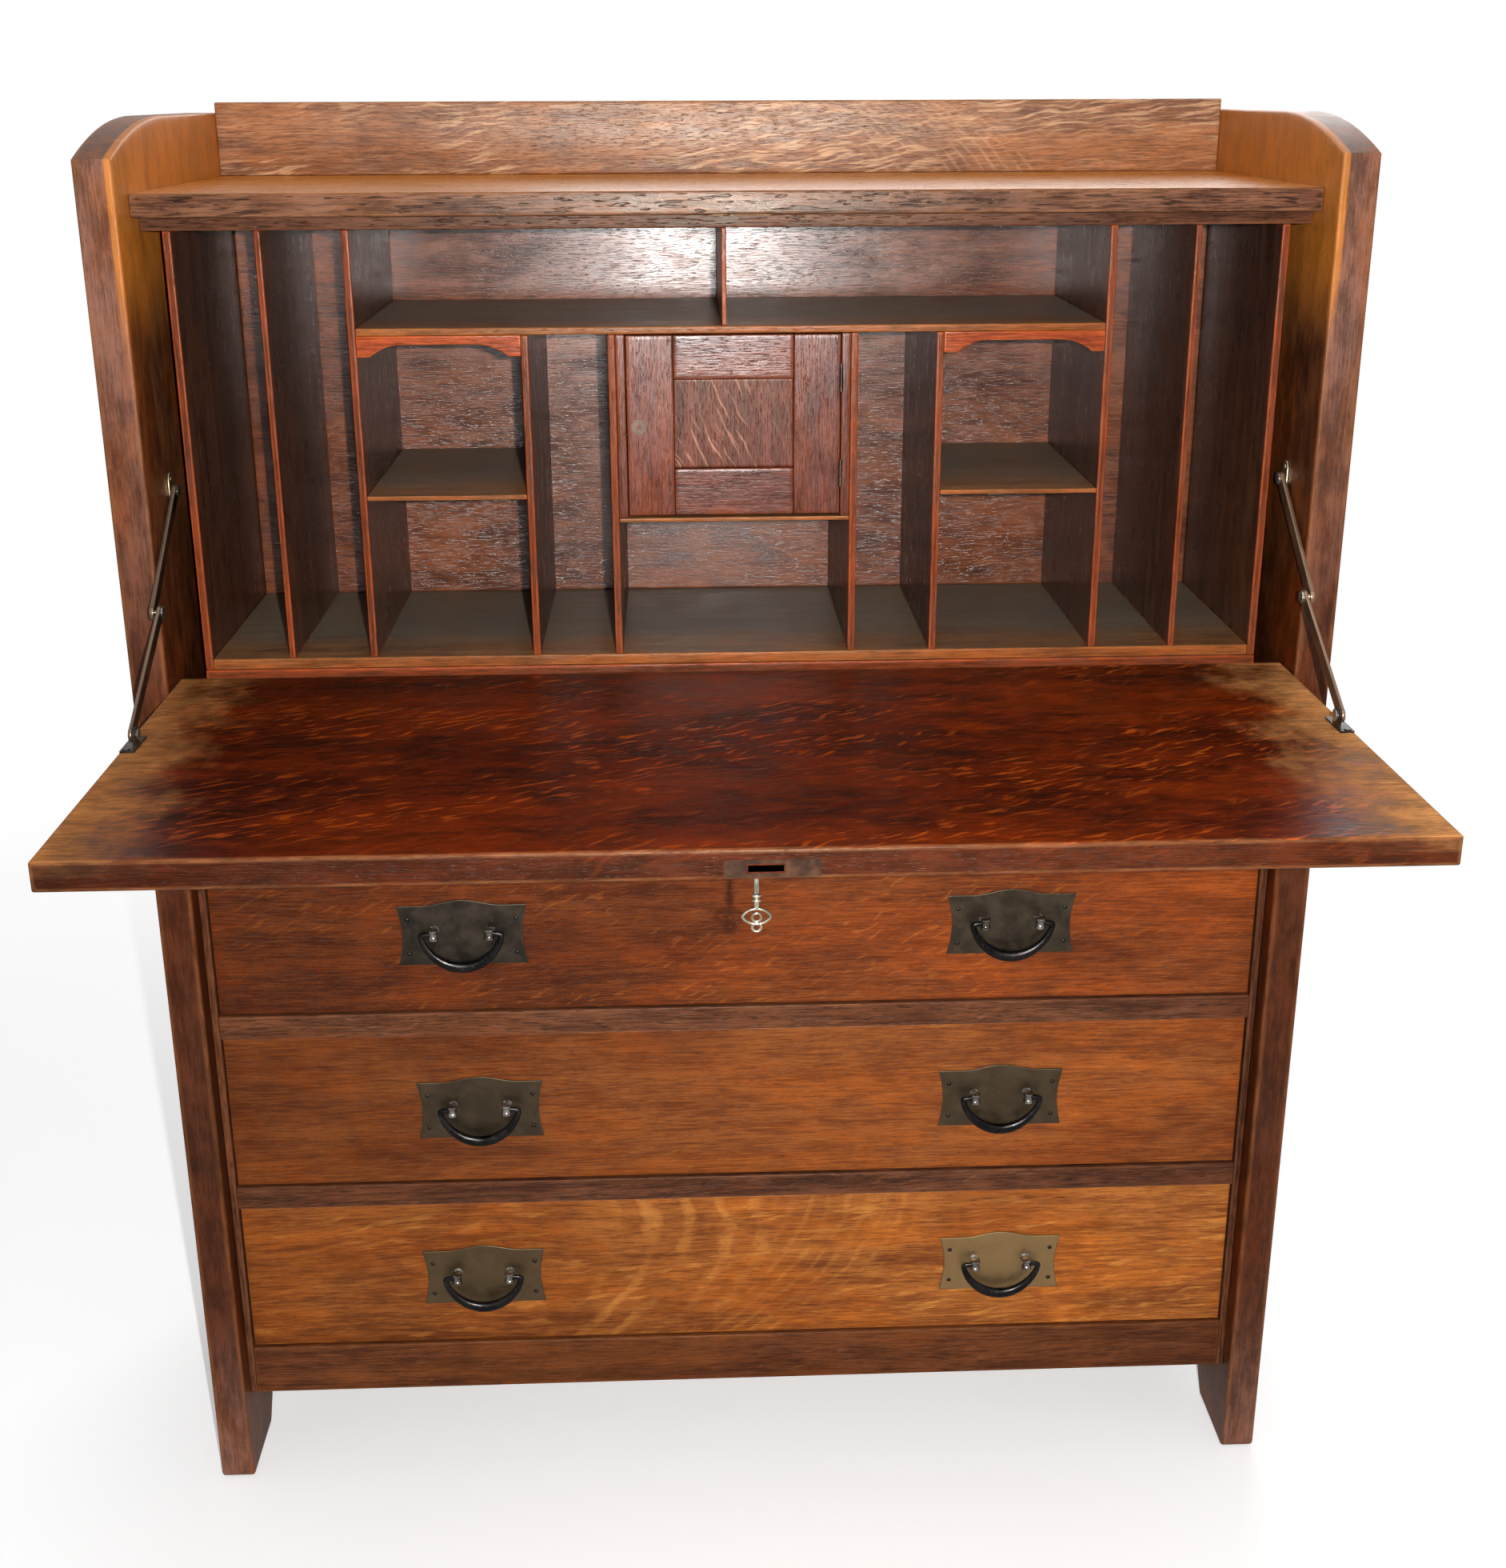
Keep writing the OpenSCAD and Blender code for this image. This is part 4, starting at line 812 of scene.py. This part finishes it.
def plateOutline(cx, cz, w, h):
    # the pull plate: a low double curve up to a peak at the top, hollow ends with flared corners
    s = pullShape
    u = np.linspace(-1, 1, 41)
    top = h / 2 + s["peak"] * 0.5 * (1 + np.cos(math.pi * np.clip(np.abs(u) / 0.62, 0, 1)))
    side = np.linspace(-1, 1, 17)
    inward = s["hollow"] * np.cos(side * math.pi / 2)
    right = np.stack([w / 2 - inward, side * h / 2], 1)
    upper = np.stack([u[::-1] * w / 2, top], 1)
    left = np.stack([-(w / 2 - inward), -side * h / 2], 1)
    return np.vstack([right, upper[1:-1], left]) + [cx, cz]


def domeProfile(r, h):
    # radius and height round a flattened quarter circle
    a = np.linspace(0, math.pi / 2, 7)
    return np.stack([r * np.cos(a), h * np.sin(a)], 1)


def headProfile(r, half):
    # radius and height of an upright barrel with a band at each end and a waist between them
    h = np.array([-1, -1, -0.86, -0.5, -0.36, -0.2, 0.2, 0.36, 0.5, 0.86, 1, 1]) * half
    w = np.array([0, 0.72, 1, 1, 0.84, 0.8, 0.8, 0.84, 1, 1, 0.72, 0]) * r
    return np.stack([w, h], 1)


def makePulls(number):
    # on each side of the drawer a plate with four nails, two posts with their heads, and a bail
    s = pullShape
    node = f"drawer_{number}_pulls"
    forward = (0, -1, 0)
    nail = domeProfile(s["nail"], s["nailRise"])
    stem = [(s["neck"] + s["flare"], 0), (s["neck"], s["flare"]), (s["neck"], s["reach"])]
    head = headProfile(s["head"], s["headHalf"])
    plates, posts = [], []
    for low, high in partBoxes(node):
        wide = high[0] - low[0]
        if wide < s["smallest"]:
            continue
        cx = (low[0] + high[0]) / 2
        tall = high[2] - low[2] - s["peak"]
        cz = low[2] + tall / 2
        front = low[1]
        side = "left" if cx < 0 else "right"
        outline = plateOutline(cx, cz, wide, tall)
        plate = roundedSlab(outline, front, high[1], y, x, s["arris"], s["wearBand"])
        plates.append({**plate, "tone": plateTones[side][number - 1]})
        for end in (-1, 1):
            px, pz = cx + end * s["posts"] / 2, cz + s["rise"]
            posts.append(lathe(stem, (px, front, pz), forward))
            posts.append(lathe(head, (px, front - s["reach"], pz), (0, 0, 1), 24))
            for nz in (s["nailUp"], -s["nailDown"]):
                nx = cx + end * (wide / 2 - s["nailIn"])
                plates.append({**lathe(nail, (nx, front, cz + nz), forward, 16), "tone": -1.0})
        makeBail(number, side, cx, front - s["reach"], cz + s["rise"])
    makePiece(node + "_plates", plates, "plateMetal", f"drawer_{number}", [node])
    makePiece(node + "_posts", posts, "postMetal", f"drawer_{number}")


def makeBail(number, side, cx, cy, cz):
    # a crescent hanging from two pins: x = -wide cos a, z = -deep sin(a)^bend, and its radius grows from the
    # ends to the middle with sin(a)^2
    s = pullShape
    a = np.linspace(0.12, math.pi - 0.12, 49)
    fall = s["bailDeep"] * np.sin(a) ** s["bailBend"]
    ring = np.stack([cx - s["bailWide"] * np.cos(a), np.full_like(a, cy), cz - fall], 1)
    thick = s["rodEnd"] + (s["rodMiddle"] - s["rodEnd"]) * np.sin(a) ** 2
    b = np.linspace(0, 1, 7)[:-1]
    pin = cx - s["posts"] / 2
    first = ring[0]
    # a quarter turn from the pin's line down into the crescent:
    # P = (1-b)^2 pin + 2b(1-b) corner + b^2 first
    corner = np.array([cx - s["bailWide"] - 0.6 * mm, cy, cz])
    start = np.array([pin, cy, cz])
    left = ((1 - b) ** 2)[:, None] * start + (2 * b * (1 - b))[:, None] * corner + (b ** 2)[:, None] * first
    right = left.copy()
    right[:, 0] = 2 * cx - right[:, 0]
    path = np.vstack([left, ring, right[::-1]])
    ends = np.full(len(left), s["rodEnd"])
    radius = np.hstack([ends, thick, ends])
    rod = tube(path, radius, squash=s["rodSquash"])
    node = f"bail_{number}_{side}"
    makePiece(node + "_metal", [rod], "bailMetal", node, [node])


for number in (1, 2, 3):
    makePulls(number)
print("pulls ready")


# The key: a collared stem over a bow of bent wire

keyShape = sized(stem=1.7, collar=3.1, collars=(19.9, 23.3), collarHalf=1.0, bowTop=28, wire=0.95,
                 bitThick=2.4, bitHigh=5, bitArris=0.3)
# each wire loop's half width, half height and place below the fall, in mm, and how pointed its ends are
keyLoops = (((9.2, 5.4, 35.0), 0.45), ((2.9, 2.9, 35.6), 0.0), ((2.9, 2.9, 42.6), 0.0))


def wireLoop(cx, cy, cz, wide, high, bend, wire):
    # a closed wire: x = wide cos a, z = high sin a |sin a|^bend, which draws the two ends out to points
    a = np.arange(72) / 72 * tau
    rise = np.sin(a) * np.abs(np.sin(a)) ** bend
    path = np.stack([cx + wide * np.cos(a), np.full_like(a, cy), cz + high * rise], 1)
    return tube(path, wire, closed=True, steps=12)


def makeKey():
    # a stem with collars turned round the key's axis, a bit at its top and a bow of three wire loops
    s = keyShape
    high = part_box("key")[1]
    cx, cy = jointPlace["key_turn"][:2]
    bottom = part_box("fall_board")[0].z
    top = high.z - bottom
    profile = [(0.0, top), (s["stem"] * 0.8, top), (s["stem"], top - 0.5 * mm)]
    stem, rim, half = s["stem"], s["collar"], s["collarHalf"]
    for at in s["collars"]:
        profile += [(stem, -at + half + 0.7 * mm), (rim - 0.5 * mm, -at + half), (rim, -at + 0.3 * mm),
                    (rim, -at - 0.3 * mm), (rim - 0.5 * mm, -at - half), (stem, -at - half - 0.7 * mm)]
    end = -s["bowTop"]
    profile += [(stem, end), (s["wire"] * 1.3, end - 2.2 * mm), (0.0, end - 2.4 * mm)]
    parts = [lathe(profile[::-1], (cx, cy, bottom), (0, 0, 1), 24)]
    bitHalf = s["bitThick"] / 2
    bitLow, bitHigh = (cx - bitHalf, cy, high.z - s["bitHigh"]), (cx + bitHalf, high.y, high.z)
    parts.append(roundedBoard(bitLow, bitHigh, z, s["bitArris"]))
    for sizes, bend in keyLoops:
        wide, tall, at = np.multiply(sizes, mm)
        parts.append(wireLoop(cx, cy, bottom - at, wide, tall, bend, s["wire"]))
    makePiece("key_metal", parts, "keyMetal", "key", ["key"])


boltShape = sized(arris=0.9, wearBand=0.3)


def makeBolt():
    # the bolt, a little rounded so that its edges catch the light, and painted with a highlight along them
    bolt = roundedBoard(*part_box("lock_bolt"), x, boltShape["arris"], boltShape["wearBand"])
    makePiece("lock_bolt_metal", [bolt], "boltMetal", "bolt", ["lock_bolt"])


makeKey()
makeBolt()


# Stays: two flat links on each side, a small bracket above and domed rivet heads. Depths are measured
# inward from the side panel

stayShape = sized(halfWidth=5.2, endRadius=5.5, arris=0.7, wearBand=1.2, upperLink=(1.8, 5.6),
                  lowerLink=(7.6, 10.5), lugEnd=13.2, capRadius=4.7, capRise=1.75, pin=2.2, pinStart=1.2)
bracketShape = sized(half=6.5, up=15, down=7, thick=1.5, arris=0.4, shoulder=3.5, shoulderDown=5, corner=2,
                     screwAt=10, screw=2.2, screwRise=0.9)
# how pale the metal of each stay is: the right stay paler than the left, partly bare metal and partly
# painted sheen
rivetTones = {"left": -0.9, "right": 0.5}
linkTones = {"left": -0.5, "right": 0.45}
sideSign = {"left": -1, "right": 1}
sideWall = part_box("side_right")[0].x


def barOutline(a, b, half, r):
    # a straight bar of the given half width from a to b in Y and Z, with a round eye at each end
    ahead = unit(b - a)
    turn = math.degrees(math.atan2(ahead[1], ahead[0]))
    gap = math.degrees(math.asin(half / r))
    return np.vstack([arc(*b, r, turn - 180 + gap, turn + 180 - gap, 32),
                      arc(*a, r, turn + gap, turn + 360 - gap, 32)])


def capProfile(r, rise):
    # radius and height of a flat rivet head with a rounded top
    return [(0, -0.3 * mm), (r - 0.3 * mm, -0.3 * mm), (r, 0.1 * mm), (r, rise - 0.45 * mm),
            (r - 0.15 * mm, rise - 0.3 * mm), (0.85 * r, rise - 0.16 * mm), (0.6 * r, rise - 0.05 * mm),
            (0.3 * r, rise), (0, rise)]


def bracketOutline(cy, cz):
    # a plate round the pivot with cut corners, wider below than at the top
    s = bracketShape
    half, up, down, cut = s["half"], s["up"], s["down"], s["corner"]
    top = half - s["shoulder"]
    right = [[half, cut - down], [half, up - s["shoulderDown"]], [top, up]]
    left = [[-top, up], [-half, up - s["shoulderDown"]], [-half, cut - down]]
    return np.array(right + left + [[cut - half, -down], [half - cut, -down]]) + [cy, cz]


def staySlab(word, outline, depths, arris, tone):
    # an outline in Y and Z carried between two depths
    ends = sorted(sideSign[word] * (sideWall - depth) for depth in depths)
    return {**roundedSlab(outline, *ends, x, y, arris, stayShape["wearBand"]), "tone": tone}


def stayTurned(word, profile, point, depth, steps):
    # a profile turned round a pin that starts at a depth and points inward
    side = sideSign[word]
    turned = lathe(profile, (side * (sideWall - depth), *point), (-side, 0, 0), steps)
    return {**turned, "tone": rivetTones[word]}


def makeStay(word, brackets, caps, feetCaps):
    # two links, rivets at their three pins, and a bracket with its spindle and screw. The middle rivet sits
    # in the round eye at the lower end of the upper link
    s, b = stayShape, bracketShape
    upper = jointPlace[f"stay_upper_{word}_pivot"][1:]
    foot = jointPlace[f"stay_lower_{word}_pivot"][1:]
    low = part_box(f"stay_upper_{word}")[0]
    middle = np.array([low.y, low.z]) + s["endRadius"]
    for part, start in (("upper", upper), ("lower", foot)):
        name = f"stay_{part}_{word}"
        outline = barOutline(start, middle, s["halfWidth"], s["endRadius"])
        link = staySlab(word, outline, s[part + "Link"], s["arris"], linkTones[word])
        makePiece(name + "_metal", [link], "stayMetal", name, [name])
    cap = capProfile(s["capRadius"], s["capRise"])
    pin = [(0, 0), (s["pin"], 0), (s["pin"], s["lowerLink"][1] - s["upperLink"][0])]
    rivet = [stayTurned(word, pin, middle, s["pinStart"], 20),
             stayTurned(word, cap, middle, s["lowerLink"][1], 32)]
    makePiece(f"stay_rivet_{word}", rivet, "rivetMetal", f"stay_lower_{word}")
    feetCaps.append(stayTurned(word, cap, foot, s["lugEnd"], 32))
    caps.append(stayTurned(word, cap, upper, s["upperLink"][1] + 0.1 * mm, 32))
    brackets.append(staySlab(word, bracketOutline(*upper), (0, b["thick"]), b["arris"], rivetTones[word]))
    spindle = [(0, 0), (s["pin"], 0), (s["pin"], s["upperLink"][1] - b["thick"] + 0.3 * mm)]
    brackets.append(stayTurned(word, spindle, upper, b["thick"] - 0.2 * mm, 24))
    screw = domeProfile(b["screw"], b["screwRise"])
    brackets.append(stayTurned(word, screw, upper + [0, b["screwAt"]], b["thick"], 20))


def makeStays():
    # both stays, with what sits on the case or on the fall joined into one piece
    brackets, caps, feetCaps = [], [], []
    for word in ("left", "right"):
        makeStay(word, brackets, caps, feetCaps)
    makePiece("stay_brackets_metal", brackets, "bracketMetal", "case", ["stay_brackets"])
    makePiece("stay_bracket_rivets", caps, "rivetMetal", "case")
    makePiece("stay_feet_rivets", feetCaps, "rivetMetal", "fall")


makeStays()


# Solids shown as they are, each with its finish

carried = dict(
    stay_feet="stayMetal", keeper_plate="brassMetal", bed_hinges="brassMetal", fall_hinges="brassMetal",
    jamb_hinges="hingeMetal", door_fittings="hingeMetal", fall_lock="lockMetal",
    drawer_runners="carriedOak")


def finishCarried():
    # each of these meshes takes its finish
    for node, finish in carried.items():
        materials = frame["nodes"][node].data.materials
        materials.clear()
        materials.append(finishes[finish])


finishCarried()
print("metal parts ready")


# Floor, light and background: a small soft lamp beside the lens, large ones above and behind, one seen in
# reflections only, and a pale surrounding

# each lamp's place, aim, size and power
lamps = dict(frontLamp=((0.03, -1.5, 1.25), (0, 0.1, 0.85), 0.016, 31.0),
             topLamp=((0.1, -0.7, 3.2), (0, 0, 0.7), 2.0, 22.0),
             backLamp=((0.6, 2.8, 2.0), (0, 0.3, 0.6), 2.0, 44.0),
             glossLamp=((0.0, -1.5, 1.0), (0, 0.1, 1.0), 0.1, 40.0))
studio = dict(surround=0.23, floor=(240, 240, 240), floorLift=0.3, floorNear=0.9, floorFar=2.2,
              floorReach=12.0)


def makeLamp(name, place, aim, size, power):
    # a square lamp turned towards its aim
    data = bpy.data.lights.new(name, "AREA")
    data.energy = power
    data.size = size
    lamp = placed(name, data)
    lamp.location = place
    lamp.rotation_euler = (Vector(aim) - Vector(place)).to_track_quat("-Z", "Y").to_euler()
    lamp.visible_diffuse = name != "glossLamp"


def makeWorld():
    # white for the camera and in reflections, softer as light
    g = Graph(bpy.data.worlds.new("studio"), "OutputWorld")
    bpy.context.scene.world = g.owner
    white = (1, 1, 1, 1)
    ray = g.add("LightPath").outputs
    mirrored = g.plus(ray["Is Glossy Ray"], ray["Is Transmission Ray"])
    seen = g.maths("ADD", ray["Is Camera Ray"], mirrored, clamp=True)
    light = g.add("Background", Color=white, Strength=studio["surround"]).outputs[0]
    backdrop = g.add("Background", Color=white).outputs[0]
    g.feed(g.output.inputs[0], g.add("MixShader", None, (seen, light, backdrop)).outputs[0])


def makeFloor():
    # pale floor that keeps the shadow close to the desk and runs out to white further away
    g = Graph(bpy.data.materials.new("floorPaint"))
    place = g.add("TexCoord").outputs["Object"]
    away = g.add("VectorMath", {"operation": "LENGTH"}, Vector=place).outputs["Value"]
    ray = g.add("LightPath").outputs["Is Camera Ray"]
    far = g.times(g.ramp(away, studio["floorNear"], studio["floorFar"]), ray)
    paint = g.add("BsdfDiffuse", Color=linear(studio["floor"])).outputs[0]
    lift = g.add("Emission", Strength=g.times(ray, studio["floorLift"])).outputs[0]
    near = g.add("AddShader", None, (paint, lift)).outputs[0]
    white = g.add("Emission", Strength=1.0).outputs[0]
    g.feed(g.output.inputs[0], g.add("MixShader", None, (far, near, white)).outputs[0])
    mesh = bpy.data.meshes.new("floor")
    reach = studio["floorReach"]
    corners = [(-reach, -reach, 0), (reach, -reach, 0), (reach, reach, 0), (-reach, reach, 0)]
    mesh.from_pydata(corners, [], [(0, 1, 2, 3)])
    mesh.materials.append(g.owner)
    floor = placed("floor", mesh)


def makeStudio():
    # plain colours, the surrounding, the lamps and the floor
    bpy.context.scene.view_settings.view_transform = "Standard"
    makeWorld()
    for name, lamp in lamps.items():
        makeLamp(name, *lamp)
    makeFloor()


makeStudio()
print("studio ready")
